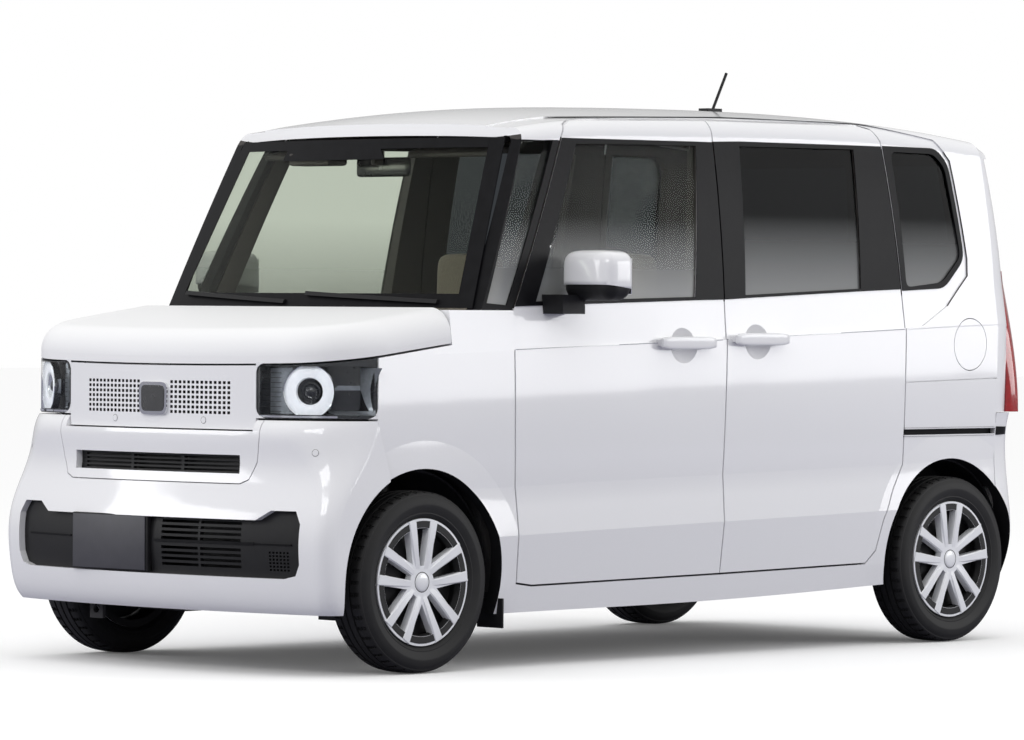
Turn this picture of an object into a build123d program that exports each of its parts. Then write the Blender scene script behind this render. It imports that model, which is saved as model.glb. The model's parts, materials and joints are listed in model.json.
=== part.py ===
from build123d import *
from collections import namedtuple
from math import atan2, cos, hypot, pi, radians, sin, sqrt
import os

os.makedirs("parts", exist_ok=True)

# Overall frame: x forward, y left, z up, millimetres, ground at z = 0
LENGTH = 3395.0
WHEELBASE = 2520.0
FRONT_OVERHANG = 515.0
TRACK = 1305.0
HALF_WIDTH = 737.5
FRONT_AXLE_X = LENGTH / 2 - FRONT_OVERHANG
REAR_AXLE_X = FRONT_AXLE_X - WHEELBASE
REAR_X = -LENGTH / 2

# Wheels
TYRE_R = 278.5
TYRE_W = 155.0
RIM_R = 181.0
RIM_LIP_R = 194.0
RIM_W = 126.0
HUB_FACE_OUT = 46.0
SPINDLE_R = 18.0
SPINDLE_CLEARANCE = 0.08
ARCH_R = 345.0
REAR_ARCH_R = 331.0
REAR_ARCH_AHEAD = 13.0
REAR_ARCH_Z = 287.0
KINGPIN_Y = 585.0

# Fits
SHUT_GAP = 6.0
GLASS_T = 5.0
GLASS_INSET = 11.0
SHOULDER_STEP = 6.0
DOOR_WALL = 58.0
PILLAR_WALL = 42.0
ROOF_T = 34.0
FLOOR_Z = 232.0
FLOOR_T = 30.0
REAR_FLOOR_Z = 420.0
REAR_FLOOR_HALF = 515.0
RAIL_Y = (345.0, 395.0)
RAIL_Z = (440.0, 520.0)
RAIL_FRONT_X = 1560.0

# Body stations, front to rear: heights of the lines that run along the side
Station = namedtuple("Station", "x sill door crease shoulder belt rail edge roof half")
STATIONS = [
    Station(1000.0, 168.0, 250.0, 406.0, 976.0, 1106.0, 1560.0, 1590.0, 1606.0, 732.0),
    Station(740.0, 171.0, 252.0, 412.0, 986.0, 1114.0, 1622.0, 1668.0, 1694.0, 735.0),
    Station(400.0, 173.0, 254.0, 420.0, 998.0, 1124.0, 1648.0, 1712.0, 1748.0, 737.0),
    Station(-300.0, 181.0, 263.0, 435.0, 1020.0, 1145.0, 1656.0, 1736.0, 1777.0, 737.5),
    Station(-1000.0, 203.0, 271.0, 450.0, 1049.0, 1173.0, 1654.0, 1734.0, 1774.0, 736.5),
    Station(-1560.0, 214.0, 282.0, 462.0, 1069.0, 1193.0, 1632.0, 1690.0, 1724.0, 732.0),
]
TAIL = Station(-1612.0, 216.0, 283.0, 463.0, 1070.0, 1194.0, 1632.0, 1656.0, 1684.0, 716.0)
NOSE_FRONT = Station(1460.0, 162.0, 244.0, 396.0, 962.0, 1092.0, 1560.0, 1590.0, 1606.0, 728.0)

# Side section, inward from the half width
SILL_IN = 36.0
DOOR_IN = 24.0
CREASE_IN = 4.0
WAIST_IN = 14.0
WAIST_UP = 150.0
BELT_IN = 17.0
RAIL_IN = 84.0
EDGE_IN = 150.0
REAR_CORNER_R = 137.5

# Offsets of one skin from the outer one
Skin = namedtuple("Skin", "lower upper top bottom")
OUTER = Skin(0.0, 0.0, 0.0, 0.0)
STEPPED = Skin(SHOULDER_STEP, SHOULDER_STEP, 4.0, 0.0)
GLASS_OUT = Skin(GLASS_INSET, GLASS_INSET, 10.0, 0.0)
GLASS_IN = Skin(GLASS_INSET + GLASS_T, GLASS_INSET + GLASS_T, 15.0, 0.0)
INNER = Skin(DOOR_WALL, PILLAR_WALL, ROOF_T, 95.0)

# Nose and bumper plan
NOSE_X = 1634.0
CROWN_R = 3000.0
NOSE_CORNER_R = 245.0
NOSE_Y = 729.0
NOSE_BACK_X = 1078.0
BONNET_T = 26.0
BONNET_EDGE_R = 88.0
BONNET_REAR_Z = 1114.0
BONNET_SLOPE = 8.0
SEAM_FRONT_Z = 934.0
SEAM_REAR_Z = 1002.0
LAMP_BOTTOM_Z = 776.0
LAMP_IN_Y = 420.0
LAMP_BACK_X = 1388.0
LENS_T = 4.0
GRILLE_T = 12.0

# Bumper levels: height, crown x on the centre line, corner radius, half width
Level = namedtuple("Level", "z crown corner half")
BUMPER_LEVELS = [
    Level(188.0, 1650.0, 62.0, 712.0),
    Level(235.0, 1676.0, 62.0, 727.0),
    Level(320.0, 1691.0, 60.0, 733.0),
    Level(480.0, 1686.0, 62.0, 733.0),
    Level(590.0, 1652.0, 105.0, 731.0),
    Level(680.0, 1649.0, 185.0, 729.0),
    Level(770.0, 1632.0, 220.0, 727.0),
]
BUMPER_WALL = 40.0

# Windscreen: middle of the base and of the top edge, and its radius
SCREEN_BASE = (1030.0, 1113.0)
SCREEN_TOP = (768.0, 1650.0)
SCREEN_R = 2940.0
SCREEN_T = 6.0

# Panel outlines seen from the side, as x, z at the middle of the shut line
FRONT_DOOR = [
    (700, 253), (768, 262), (772, 320), (795, 736), (805, 983), (792, 1108), (510, 1652),
    (478, 1690), (425, 1708), (-203, 1724), (-196, 1655), (-184, 1139), (-176, 1010), (-172, 264),
]
SLIDING_DOOR = [
    (-172, 264), (-176, 1010), (-184, 1139), (-196, 1655), (-203, 1724), (-975, 1728),
    (-1020, 1716), (-1040, 1674), (-1071, 1171), (-1074, 602), (-1018, 518), (-970, 418),
    (-943, 318), (-895, 276),
]
FRONT_WINDOW = [(690, 1134), (448, 1630), (-112, 1638), (-44, 1153)]
SLIDING_WINDOW = [(-287, 1160), (-322, 1642), (-893, 1646), (-862, 1185)]
QUARTER_WINDOW = [(-1092, 1184), (-1078, 1650), (-1318, 1648), (-1368, 1604), (-1401, 1292), (-1290, 1202)]
PILLAR_WINDOW = [(905, 1128), (818, 1122), (548, 1640), (688, 1634)]
PILLAR_TRIM = [(1020, 1106), (772, 1106), (496, 1638), (790, 1638)]
STEP_BAND = [
    (1500, 966), (800, 984), (170, 1008), (-448, 1027), (-1071, 1055), (-1160, 1062),
    (-1300, 1130), (-1420, 1232), (-1425, 1290), (-1392, 1620), (-1330, 1690), (-1000, 1736),
    (-300, 1738), (600, 1714), (1500, 1680),
]
FUEL_LID_AT = (-1412.0, 1001.0)
FUEL_LID_R = 86.0
FUEL_LID_T = 10.0
FENDER_BACK_X = 768.0
COWL_Z = 1106.0
ROOF_HALF_Y = 545.0
CANT_RAIL_Y = 588.0
SILL_IN_Y = 640.0
DOOR_IN_Y = 648.0


def offset_row(row, skin):
    """Corner points of one left half section, from the centre line up and round."""
    half = row.half
    return [
        (0.0, row.sill + skin.bottom),
        (half - SILL_IN - skin.lower, row.sill + skin.bottom),
        (half - DOOR_IN - skin.lower, row.door + skin.bottom),
        (half - CREASE_IN - skin.lower, row.crease + skin.bottom * 0.2),
        (half - WAIST_IN - skin.lower, row.crease + WAIST_UP),
        (half - skin.lower, row.shoulder),
        (half - BELT_IN - skin.lower, row.belt),
        (half - RAIL_IN - skin.upper, row.rail - skin.top * 0.3),
        (half - EDGE_IN - skin.upper * 0.4, row.edge - skin.top * 0.9),
        (0.0, row.roof - skin.top),
    ]


def mid_bulge(p, q, bulge):
    """A point beside the middle of p and q, the bulge to the right of the way p to q."""
    dx = q[0] - p[0]
    dz = q[1] - p[1]
    size = hypot(dx, dz)
    return ((p[0] + q[0]) / 2 + bulge * dz / size, (p[1] + q[1]) / 2 - bulge * dx / size)


def half_section(row, skin):
    """One left half section as a face in its own plane."""
    p = offset_row(row, skin)
    with BuildSketch(Plane(origin=(row.x, 0, 0), x_dir=(0, 1, 0), z_dir=(1, 0, 0))) as face:
        with BuildLine():
            Polyline(p[0], p[1], p[2], p[3], p[4])
            ThreePointArc(p[4], mid_bulge(p[4], p[5], 3.2), p[5])
            Line(p[5], p[6])
            ThreePointArc(p[6], mid_bulge(p[6], p[7], 7.0), p[7])
            ThreePointArc(p[7], mid_bulge(p[7], p[8], 17.0), p[8])
            ThreePointArc(p[8], (p[8][0] / 2, p[8][1] + 0.75 * (p[9][1] - p[8][1])), p[9])
            Line(p[9], p[0])
        make_face()
    return face.sketch


def half_body(skin, rows=STATIONS, ruled=False):
    """Left half of the cabin within one skin."""
    with BuildPart() as half:
        loft([half_section(row, skin) for row in rows], ruled=ruled)
    return half.part


def side_prism(points, grow=0.0, y_out=980.0, y_in=330.0, round_r=0.0):
    """Prism across the car over an outline seen from the side."""
    with BuildPart() as prism:
        with BuildSketch(Plane(origin=(0, y_out, 0), x_dir=(1, 0, 0), z_dir=(0, -1, 0))) as outline:
            with BuildLine():
                Polyline(*points, close=True)
            make_face()
            if round_r:
                fillet(outline.vertices(), round_r)
            if grow:
                offset(amount=grow, kind=Kind.INTERSECTION, mode=Mode.REPLACE)
        extrude(amount=y_out - y_in)
    return prism.part


def rear_prism(points, x_rear=-1760.0, x_front=-1400.0):
    """Prism along the car over an outline seen from behind, as y, z."""
    with BuildPart() as prism:
        with BuildSketch(Plane(origin=(x_rear, 0, 0), x_dir=(0, 1, 0), z_dir=(1, 0, 0))):
            with BuildLine():
                Polyline(*points, close=True)
            make_face()
        extrude(amount=x_front - x_rear)
    return prism.part


def cross_cylinder(x, z, r, y_in, y_out):
    """Cylinder across the car."""
    with BuildPart() as barrel:
        with BuildSketch(Plane(origin=(x, y_out, z), x_dir=(1, 0, 0), z_dir=(0, -1, 0))):
            Circle(r)
        extrude(amount=y_out - y_in)
    return barrel.part


def box(x0, x1, y0, y1, z0, z1):
    """Box between two corners."""
    with BuildPart() as block:
        with Locations(((x0 + x1) / 2, (y0 + y1) / 2, (z0 + z1) / 2)):
            Box(x1 - x0, y1 - y0, z1 - z0)
    return block.part


def cut(base, *tools):
    """Base less the tools."""
    with BuildPart() as result:
        add(base)
        for tool in tools:
            add(tool, mode=Mode.SUBTRACT)
    return result.part


def common(base, tool):
    """What base and tool share."""
    with BuildPart() as result:
        add(base)
        add(tool, mode=Mode.INTERSECT)
    return result.part


def joined(*pieces):
    """All pieces in one part."""
    with BuildPart() as result:
        for piece in pieces:
            add(piece)
    return result.part


def plan_face(z, crown_x, corner_r, half, back_x, crown_r=CROWN_R):
    """Nose outline seen from above: crown, corners, straight sides and a straight back."""
    centre_x = crown_x - crown_r
    corner_x = centre_x + sqrt((crown_r - corner_r) ** 2 - (half - corner_r) ** 2)
    corner_y = half - corner_r
    turn = atan2(corner_y, corner_x - centre_x)
    on_crown = (centre_x + crown_r * cos(turn), crown_r * sin(turn))
    middle = (turn + pi / 2) / 2
    on_corner = (corner_x + corner_r * cos(middle), corner_y + corner_r * sin(middle))
    with BuildSketch(Plane(origin=(0, 0, z))) as face:
        with BuildLine():
            ThreePointArc((on_crown[0], -on_crown[1]), (crown_x, 0), on_crown)
            ThreePointArc(on_crown, on_corner, (corner_x, half))
            Polyline((corner_x, half), (back_x, half), (back_x, -half), (corner_x, -half))
            ThreePointArc((corner_x, -half), (on_corner[0], -on_corner[1]), (on_crown[0], -on_crown[1]))
        make_face()
    return face.sketch


def across(piece):
    """The same piece on the other side of the car."""
    return mirror(piece, about=Plane.XZ)


def save(piece, name):
    """Label a piece and write it to its own file."""
    piece.label = name
    export_step(piece, f"parts/{name}.step")


# Cabin shell, left half: outer skin with the stepped band cut into it, hollow inside
outer_half = half_body(OUTER)
stepped_half = half_body(STEPPED)
inner_half = half_body(INNER)
band_cutter = cut(side_prism(STEP_BAND, y_in=500.0), stepped_half)
solid_half = cut(outer_half, band_cutter)
screen_slope = atan2(SCREEN_TOP[0] - SCREEN_BASE[0], SCREEN_TOP[1] - SCREEN_BASE[1])
screen_dir = (sin(screen_slope), 0, cos(screen_slope))
screen_normal = (cos(screen_slope), 0, -sin(screen_slope))
SCREEN_LEN = hypot(SCREEN_TOP[0] - SCREEN_BASE[0], SCREEN_TOP[1] - SCREEN_BASE[1])


def screen_slab(r_out, r_in, below, above):
    """Curved slab along the slope of the windscreen."""
    base = Vector(SCREEN_BASE[0], 0, SCREEN_BASE[1]) - Vector(*screen_dir) * below
    plane = Plane(origin=base, x_dir=screen_normal, z_dir=screen_dir)
    with BuildPart() as slab:
        with BuildSketch(plane):
            with Locations((-SCREEN_R, 0)):
                Circle(r_out)
                Circle(r_in, mode=Mode.SUBTRACT)
            with Locations((-SCREEN_R / 2 - 900, 0)):
                Rectangle(SCREEN_R, 3 * SCREEN_R, mode=Mode.SUBTRACT)
        extrude(amount=SCREEN_LEN + below + above)
    return slab.part


ahead_of_screen = screen_slab(SCREEN_R + 1200.0, SCREEN_R - SCREEN_T, 900.0, 900.0)
shell_half = cut(solid_half, inner_half, ahead_of_screen)

# Rear block: the last section turned round the corner and drawn across the tail
tail_row = STATIONS[-1]
tail_axis_y = tail_row.half - REAR_CORNER_R


def tail_profile(skin):
    """Rear section as distance from the corner axis and height, up to the rail."""
    p = offset_row(tail_row, skin)
    return [(y - tail_axis_y, z) for y, z in p[1:8]]


def tail_face(plane, skin):
    """Face between the corner axis and the rear section."""
    p = tail_profile(skin)
    with BuildSketch(plane) as face:
        with BuildLine():
            Polyline((0, p[0][1]), p[0], p[1], p[2], p[3])
            ThreePointArc(p[3], mid_bulge(p[3], p[4], 3.2), p[4])
            Line(p[4], p[5])
            ThreePointArc(p[5], mid_bulge(p[5], p[6], 7.0), p[6])
            Polyline(p[6], (0, p[6][1]), (0, p[0][1]))
        make_face()
    return face.sketch


with BuildPart() as rear_corner:
    add(tail_face(Plane(origin=(tail_row.x, tail_axis_y, 0), x_dir=(0, 1, 0), z_dir=(1, 0, 0)), OUTER))
    revolve(axis=Axis((tail_row.x, tail_axis_y, 0), (0, 0, 1)), revolution_arc=90.0)
with BuildPart() as rear_middle:
    add(tail_face(Plane(origin=(tail_row.x, tail_axis_y, 0), x_dir=(-1, 0, 0), z_dir=(0, 1, 0)), OUTER))
    extrude(amount=2 * tail_axis_y, dir=(0, -1, 0))
tail_cap_half = common(half_body(OUTER, [tail_row, TAIL], True), box(-1700, -1500, 0, 900, tail_row.rail, 1900))
rear_block = joined(rear_corner.part, across(rear_corner.part), rear_middle.part)
rear_block = joined(rear_block, tail_cap_half, across(tail_cap_half))


# Side panels of the left half: prisms over the outlines share out the shell
door_gap = SHUT_GAP / 2
cant_rail = box(-1700, 1200, -10, CANT_RAIL_Y, 1640, 1900)
front_door_hole = cut(side_prism(FRONT_DOOR, door_gap), cant_rail)
sliding_door_hole = cut(side_prism(SLIDING_DOOR, door_gap), cant_rail)
front_arch = cross_cylinder(FRONT_AXLE_X, TYRE_R, ARCH_R, 330.0, 980.0)
rear_arch = cross_cylinder(REAR_AXLE_X + REAR_ARCH_AHEAD, REAR_ARCH_Z, REAR_ARCH_R, 330.0, 980.0)
roof_zone = box(-1566.0, 1100.0, -10.0, ROOF_HALF_Y, 1600.0, 1900.0)
below_floor = box(-1700, 1200, -10, SILL_IN_Y, 100, FLOOR_Z + 180)
side_shell = cut(shell_half, front_door_hole, sliding_door_hole, roof_zone, below_floor)
side_shell = cut(side_shell, rear_arch, box(FENDER_BACK_X, 1200, -10, 980, 0, COWL_Z), box(-1700, 1200, -10, 560, 0, 1500))
quarter_hole = side_prism(QUARTER_WINDOW)
pillar_hole = side_prism(PILLAR_WINDOW)
fuel_pocket = cross_cylinder(FUEL_LID_AT[0], FUEL_LID_AT[1], FUEL_LID_R + 3.0, HALF_WIDTH - 45.0, 900.0)

# Tailgate outline from behind, as y, z, and the tail lamp strips beside it
TAILGATE = [(600, 566), (606, 780), (606, 1200), (560, 1640), (548, 1760)]
TAILGATE_WINDOW = [(545, 1165), (505, 1610)]
LAMP_STRIP = [(611, 772), (611, 1236), (760, 1262), (760, 772)]
LAMP_FRONT_X = -1628.0
BUMPER_TOP_Z = 560.0
BUMPER_CORNER_Z = 769.0
tailgate_points = TAILGATE + [(-y, z) for y, z in reversed(TAILGATE)]
tailgate_hole = [(y + (door_gap * 2 if y > 0 else -door_gap * 2), z) for y, z in tailgate_points]
with BuildPart() as tail_hollow:
    with BuildSketch(Plane(origin=(0, 700, 0), x_dir=(1, 0, 0), z_dir=(0, -1, 0))):
        with BuildLine():
            Polyline((-1500, 240), (-1640, 240), (-1640, 1150), (-1578, 1640), (-1500, 1640), close=True)
        make_face()
    extrude(amount=1400)
corner_left = cut(rear_corner.part, box(-1800, -1500, 0, 900, 0, BUMPER_CORNER_Z + 3))
lamp_zone = common(rear_prism(LAMP_STRIP), box(-1800, LAMP_FRONT_X, 0, 900, 0, 1400))
corner_left = cut(
    joined(corner_left, tail_cap_half),
    rear_prism(tailgate_hole),
    lamp_zone,
    box(-1640, -1500, 0, 690, 0, 1150),
    rear_arch,
)
SLIDE_SLOT_Z = (699.0, 718.0)
SLIDE_SLOT_DEEP = 20.0
QUARTER_SEAM = [(-1060, 873), (-1700, 889), (-1700, 892), (-1060, 876)]
QUARTER_SEAM_DEEP = 7.0
slot_skin = Skin(SLIDE_SLOT_DEEP, SLIDE_SLOT_DEEP, 0.0, 0.0)
slot_tool = box(-1800, -1060, 500, 900, SLIDE_SLOT_Z[0], SLIDE_SLOT_Z[1])
with BuildPart() as slot_core:
    add(tail_face(Plane(origin=(tail_row.x, tail_axis_y, 0), x_dir=(0, 1, 0), z_dir=(1, 0, 0)), slot_skin))
    revolve(axis=Axis((tail_row.x, tail_axis_y, 0), (0, 0, 1)), revolution_arc=90.0)
slot_tool = cut(slot_tool, half_body(slot_skin), slot_core.part)
seam_tool = common(cut(side_prism(QUARTER_SEAM, y_in=500.0), half_body(Skin(QUARTER_SEAM_DEEP, 0.0, 0.0, 0.0))),
                   box(tail_row.x, 0, 500, 900, 800, 950))
body_side = cut(joined(side_shell, corner_left), quarter_hole, pillar_hole, slot_tool, seam_tool)
pillar_zone = side_prism(PILLAR_TRIM)
pillar_trim = common(body_side, pillar_zone)
save(joined(pillar_trim, across(pillar_trim)), "pillar_trims")
body_side = cut(body_side, pillar_zone)
body_side_left = cut(body_side, fuel_pocket)
body_side_right = across(body_side)
save(body_side_left, "body_side_left")
save(body_side_right, "body_side_right")

roof_half = common(shell_half, box(-1557.0, 1100.0, 0.0, ROOF_HALF_Y, 1600.0, 1900.0))
roof_panel = joined(roof_half, across(roof_half))
save(roof_panel, "roof_panel")

front_door_left = cut(common(shell_half, side_prism(FRONT_DOOR, -door_gap)), side_prism(FRONT_WINDOW))
sliding_door_left = cut(common(shell_half, side_prism(SLIDING_DOOR, -door_gap)), side_prism(SLIDING_WINDOW))
door_top_in = box(-1700, 1200, -10, CANT_RAIL_Y + SHUT_GAP, 1600, 1900)
front_door_left = cut(front_door_left, door_top_in, box(-1700, 1200, -10, 560, 0, 1900), box(-1700, 1200, -10, DOOR_IN_Y, 0, 420))
sliding_door_left = cut(sliding_door_left, door_top_in, box(-1700, 1200, -10, 560, 0, 1900), box(-1700, 1200, -10, DOOR_IN_Y, 0, 420))
HANDLES = [("front", 30.0, 1006.0), ("sliding", -325.0, 1018.0)]
RECESS_R = 66.0
RECESS_DEEP = 24.0
recess_ball = (RECESS_R ** 2 + RECESS_DEEP ** 2) / (2 * RECESS_DEEP)
bowls = []
for name, x, z in HANDLES:
    with BuildPart() as bowl:
        with Locations((x, HALF_WIDTH - RECESS_DEEP + recess_ball, z)):
            Sphere(recess_ball)
    bowls.append(bowl.part)
front_door_left = cut(front_door_left, bowls[0])
sliding_door_left = cut(sliding_door_left, bowls[1])
for name, panel in [("front_door", front_door_left), ("sliding_door", sliding_door_left)]:
    save(panel, name + "_left")
    save(across(panel), name + "_right")


# Side glass, set in behind the skin
glass_out = half_body(GLASS_OUT)
glass_in = half_body(GLASS_IN)


def pane(outline):
    """Glass over one window outline on the left side."""
    return cut(common(glass_out, side_prism(outline, y_in=500.0)), glass_in)


front_pane = pane(FRONT_WINDOW)
save(front_pane, "front_door_glass_left")
save(across(front_pane), "front_door_glass_right")
sliding_pane = pane(SLIDING_WINDOW)
save(joined(sliding_pane, across(sliding_pane)), "sliding_door_glass")
quarter = pane(QUARTER_WINDOW)
pillar = cut(pane(PILLAR_WINDOW), ahead_of_screen)
save(joined(quarter, pillar, across(quarter), across(pillar)), "fixed_side_glass")

# Windscreen
screen = screen_slab(SCREEN_R, SCREEN_R - SCREEN_T, 60.0, 60.0)
SCREEN_SIDES = [(668, 1112), (574, 1646)]
screen_outline = SCREEN_SIDES + [(-y, z) for y, z in reversed(SCREEN_SIDES)]
screen = common(screen, rear_prism(screen_outline, 500.0, 1300.0))
save(screen, "windscreen")

# Tailgate with its window and the glass
TAIL_GLASS_T = 6.0
tail_solid = joined(rear_middle.part, rear_corner.part, across(rear_corner.part))
tail_solid = joined(tail_solid, tail_cap_half, across(tail_cap_half))
tail_window = TAILGATE_WINDOW + [(-y, z) for y, z in reversed(TAILGATE_WINDOW)]
tail_front = box(-1566, -1400, -800, 800, 0, 1900)
tailgate = common(tail_solid, rear_prism(tailgate_points))
tailgate = cut(tailgate, tail_hollow.part, tail_front)
tail_shut = box(-1800, -1500, -800, 800, 0, BUMPER_TOP_Z + SHUT_GAP)
tailgate_frame = cut(tailgate, rear_prism(tail_window), tail_shut)
save(tailgate_frame, "tailgate")
with BuildPart() as tail_pane:
    add(tail_face(Plane(origin=(tail_row.x, tail_axis_y, 0), x_dir=(-1, 0, 0), z_dir=(0, 1, 0)),
                  Skin(8.0, 8.0, 0.0, 0.0)))
    extrude(amount=2 * tail_axis_y, dir=(0, -1, 0))
    add(tail_face(Plane(origin=(tail_row.x, tail_axis_y, 0), x_dir=(-1, 0, 0), z_dir=(0, 1, 0)),
                  Skin(8.0 + TAIL_GLASS_T, 8.0 + TAIL_GLASS_T, 0.0, 0.0)))
    extrude(amount=2 * tail_axis_y, dir=(0, -1, 0), mode=Mode.SUBTRACT)
    add(rear_prism(tail_window), mode=Mode.INTERSECT)
save(tail_pane.part, "tailgate_glass")

# Rear bumper and tail lamps
REAR_LEVELS = [
    Level(216.0, 1680.0, 70.0, 712.0),
    Level(262.0, 1688.0, 66.0, 725.0),
    Level(500.0, 1690.0, 62.0, 729.0),
    Level(BUMPER_CORNER_Z, 1690.0, 62.0, 731.0),
]
REAR_BUMPER_WALL = 40.0
REAR_CROWN_R = 9000.0
REAR_BUMPER_FRONT = -tail_row.x
with BuildPart() as rear_solid:
    loft([plan_face(v.z, v.crown, v.corner, v.half, REAR_BUMPER_FRONT, REAR_CROWN_R) for v in REAR_LEVELS])
with BuildPart() as rear_hollow:
    loft([plan_face(v.z, v.crown - REAR_BUMPER_WALL, v.corner, v.half - REAR_BUMPER_WALL,
                    REAR_BUMPER_FRONT - 20, REAR_CROWN_R) for v in REAR_LEVELS])
rear_bumper = mirror(cut(rear_solid.part, rear_hollow.part), about=Plane.YZ)
gate_side_y = TAILGATE[0][0] + SHUT_GAP
rear_bumper = cut(rear_bumper, rear_arch, across(rear_arch),
                  box(-1800, -1500, -gate_side_y, gate_side_y, BUMPER_TOP_Z, 900))
save(rear_bumper, "rear_bumper")
LAMP_PLAN = [(LAMP_FRONT_X, 640), (LAMP_FRONT_X, 716), (-1648, 729), (-1672, 731), (-1689, 720), (-1697, 696),
             (-1697, 612), (-1646, 612), (-1646, 640)]
with BuildPart() as lamp:
    with BuildSketch(Plane(origin=(0, 0, BUMPER_CORNER_Z + 3))):
        with BuildLine():
            Polyline(*LAMP_PLAN, close=True)
        make_face()
    extrude(amount=600)
    fillet(lamp.edges().filter_by(Axis.Z).sort_by(Axis.Y)[-4:], 9.0)
    add(rear_prism(LAMP_STRIP), mode=Mode.INTERSECT)
save(joined(lamp.part, across(lamp.part)), "tail_lamps")

# Fuel lid on the left side
lid = common(solid_half, cross_cylinder(FUEL_LID_AT[0], FUEL_LID_AT[1], FUEL_LID_R, 600.0, 900.0))
lid = cut(lid, half_body(Skin(FUEL_LID_T, FUEL_LID_T, 10.0, 0.0)))
save(lid, "fuel_lid")


def nose_block(inset, bottom):
    """Nose solid with a sloping, rounded top; inset moves every face inward."""
    top_z = BONNET_REAR_Z - inset
    with BuildPart() as nose:
        add(plan_face(bottom, NOSE_X - inset, NOSE_CORNER_R - inset, NOSE_Y - inset, NOSE_BACK_X))
        extrude(amount=1300 - bottom, dir=(0, 0, 1))
        slope = Plane(origin=(NOSE_BACK_X, 0, top_z), z_dir=(sin(radians(BONNET_SLOPE)), 0, cos(radians(BONNET_SLOPE))))
        split(bisect_by=slope, keep=Keep.BOTTOM)
        top = nose.faces().sort_by(Axis.Z)[-1]
        rim = top.edges().sort_by(Axis.X)[1:]
        fillet(rim, BONNET_EDGE_R - inset)
    return nose.part


nose_solid = nose_block(0.0, 700.0)
nose_inside = nose_block(BONNET_T, 690.0)


def under_seam(drop):
    """Everything in the nose below the bonnet seam."""
    run = NOSE_X - NOSE_BACK_X
    return side_prism(
        [(NOSE_BACK_X - 400, SEAM_REAR_Z - drop + (SEAM_REAR_Z - SEAM_FRONT_Z) / run * 400),
         (NOSE_X + 100, SEAM_FRONT_Z - drop - (SEAM_REAR_Z - SEAM_FRONT_Z) / run * 100),
         (NOSE_X + 100, 0), (NOSE_BACK_X - 400, 0)],
        y_out=900.0, y_in=-900.0,
    )


bonnet = cut(nose_solid, nose_inside, under_seam(-SHUT_GAP / 2), box(1000, NOSE_BACK_X + 3, -900, 900, 0, 1300))
save(bonnet, "bonnet")
nose_wall = common(nose_solid, under_seam(SHUT_GAP / 2))

# Grille panel between the lamps, with rows of small windows
HOLE_ROWS = 7
HOLE_COLUMNS = 14
HOLE_PITCH_Y = 18.4
HOLE_PITCH_Z = 15.2
HOLE_WIDE = 11.0
HOLE_HIGH = 9.0
HOLE_FIRST_Y = 75.0
HOLE_FIRST_Z = 790.0
GRILLE_BOTTOM_Z = 740.0
grille = cut(nose_wall, nose_block(GRILLE_T, 690.0))
grille = common(grille, box(1400, 1700, -LAMP_IN_Y, LAMP_IN_Y, GRILLE_BOTTOM_Z, 960))
with BuildPart() as grille_panel:
    add(grille)
    with BuildSketch(Plane(origin=(1700, 0, 0), x_dir=(0, 1, 0), z_dir=(1, 0, 0))):
        for row in range(HOLE_ROWS):
            for column in range(HOLE_COLUMNS):
                for side in (-1, 1):
                    with Locations((side * (HOLE_FIRST_Y + column * HOLE_PITCH_Y), HOLE_FIRST_Z + row * HOLE_PITCH_Z)):
                        Rectangle(HOLE_WIDE, HOLE_HIGH)
    extrude(amount=-200, mode=Mode.SUBTRACT)
save(grille_panel.part, "grille_panel")

# Headlamps: a clear lens and the housing behind it
lamp_zone_front = cut(box(LAMP_BACK_X, 1700, LAMP_IN_Y, 900, LAMP_BOTTOM_Z, 1000))
lens_zone = common(nose_wall, lamp_zone_front)
lens = cut(lens_zone, nose_block(LENS_T, 690.0))
save(joined(lens, across(lens)), "headlamp_lenses")
housing = common(nose_block(LENS_T, 690.0), common(lamp_zone_front, under_seam(SHUT_GAP / 2)))
housing = cut(housing, common(nose_block(64.0, 690.0), box(0, 2000, 0, 900, 0, 2000)))
housing_bowl = cut(nose_block(LENS_T, 690.0), nose_block(50.0, 690.0))
bowl_zone = box(LAMP_BACK_X + 12, 1700, LAMP_IN_Y + 12, 900, LAMP_BOTTOM_Z + 12, 934)
housing = cut(housing, common(housing_bowl, bowl_zone))
save(joined(housing, across(housing)), "headlamp_housings")

# Front bumper
BUMPER_BACK_X = 1290.0
with BuildPart() as bumper_solid:
    loft([plan_face(v.z, v.crown, v.corner, v.half, BUMPER_BACK_X) for v in BUMPER_LEVELS])
with BuildPart() as bumper_hollow:
    loft([plan_face(v.z, v.crown - BUMPER_WALL, v.corner, v.half - BUMPER_WALL, BUMPER_BACK_X - 20)
          for v in BUMPER_LEVELS])
bumper_back = side_prism([(1200, 100), (1338, 100), (1338, 604), (1391, 773), (1391, 900), (1200, 900)],
                         y_out=900.0, y_in=-900.0)
SLOT_HALF_Y = 371.0
SLOT_Z = (607.0, 663.0)
LOWER_OPENING = [(575, 296), (618, 306), (634, 340), (634, 462), (612, 500), (520, 500), (470, 470)]
opening_points = LOWER_OPENING + [(-y, z) for y, z in reversed(LOWER_OPENING)]
lower_opening = rear_prism(opening_points, 1500.0, 1800.0)
slot_opening = box(1500, 1800, -SLOT_HALF_Y, SLOT_HALF_Y, SLOT_Z[0], SLOT_Z[1])
front_bumper = cut(bumper_solid.part, bumper_hollow.part, bumper_back, front_arch, across(front_arch))
front_bumper = cut(front_bumper, lower_opening, slot_opening, box(1200, 1800, -900, 900, LAMP_BOTTOM_Z - 4, 900))
front_bumper = cut(front_bumper, box(1200, 1800, -LAMP_IN_Y - 3, LAMP_IN_Y + 3, GRILLE_BOTTOM_Z - 4, 900))

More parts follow.
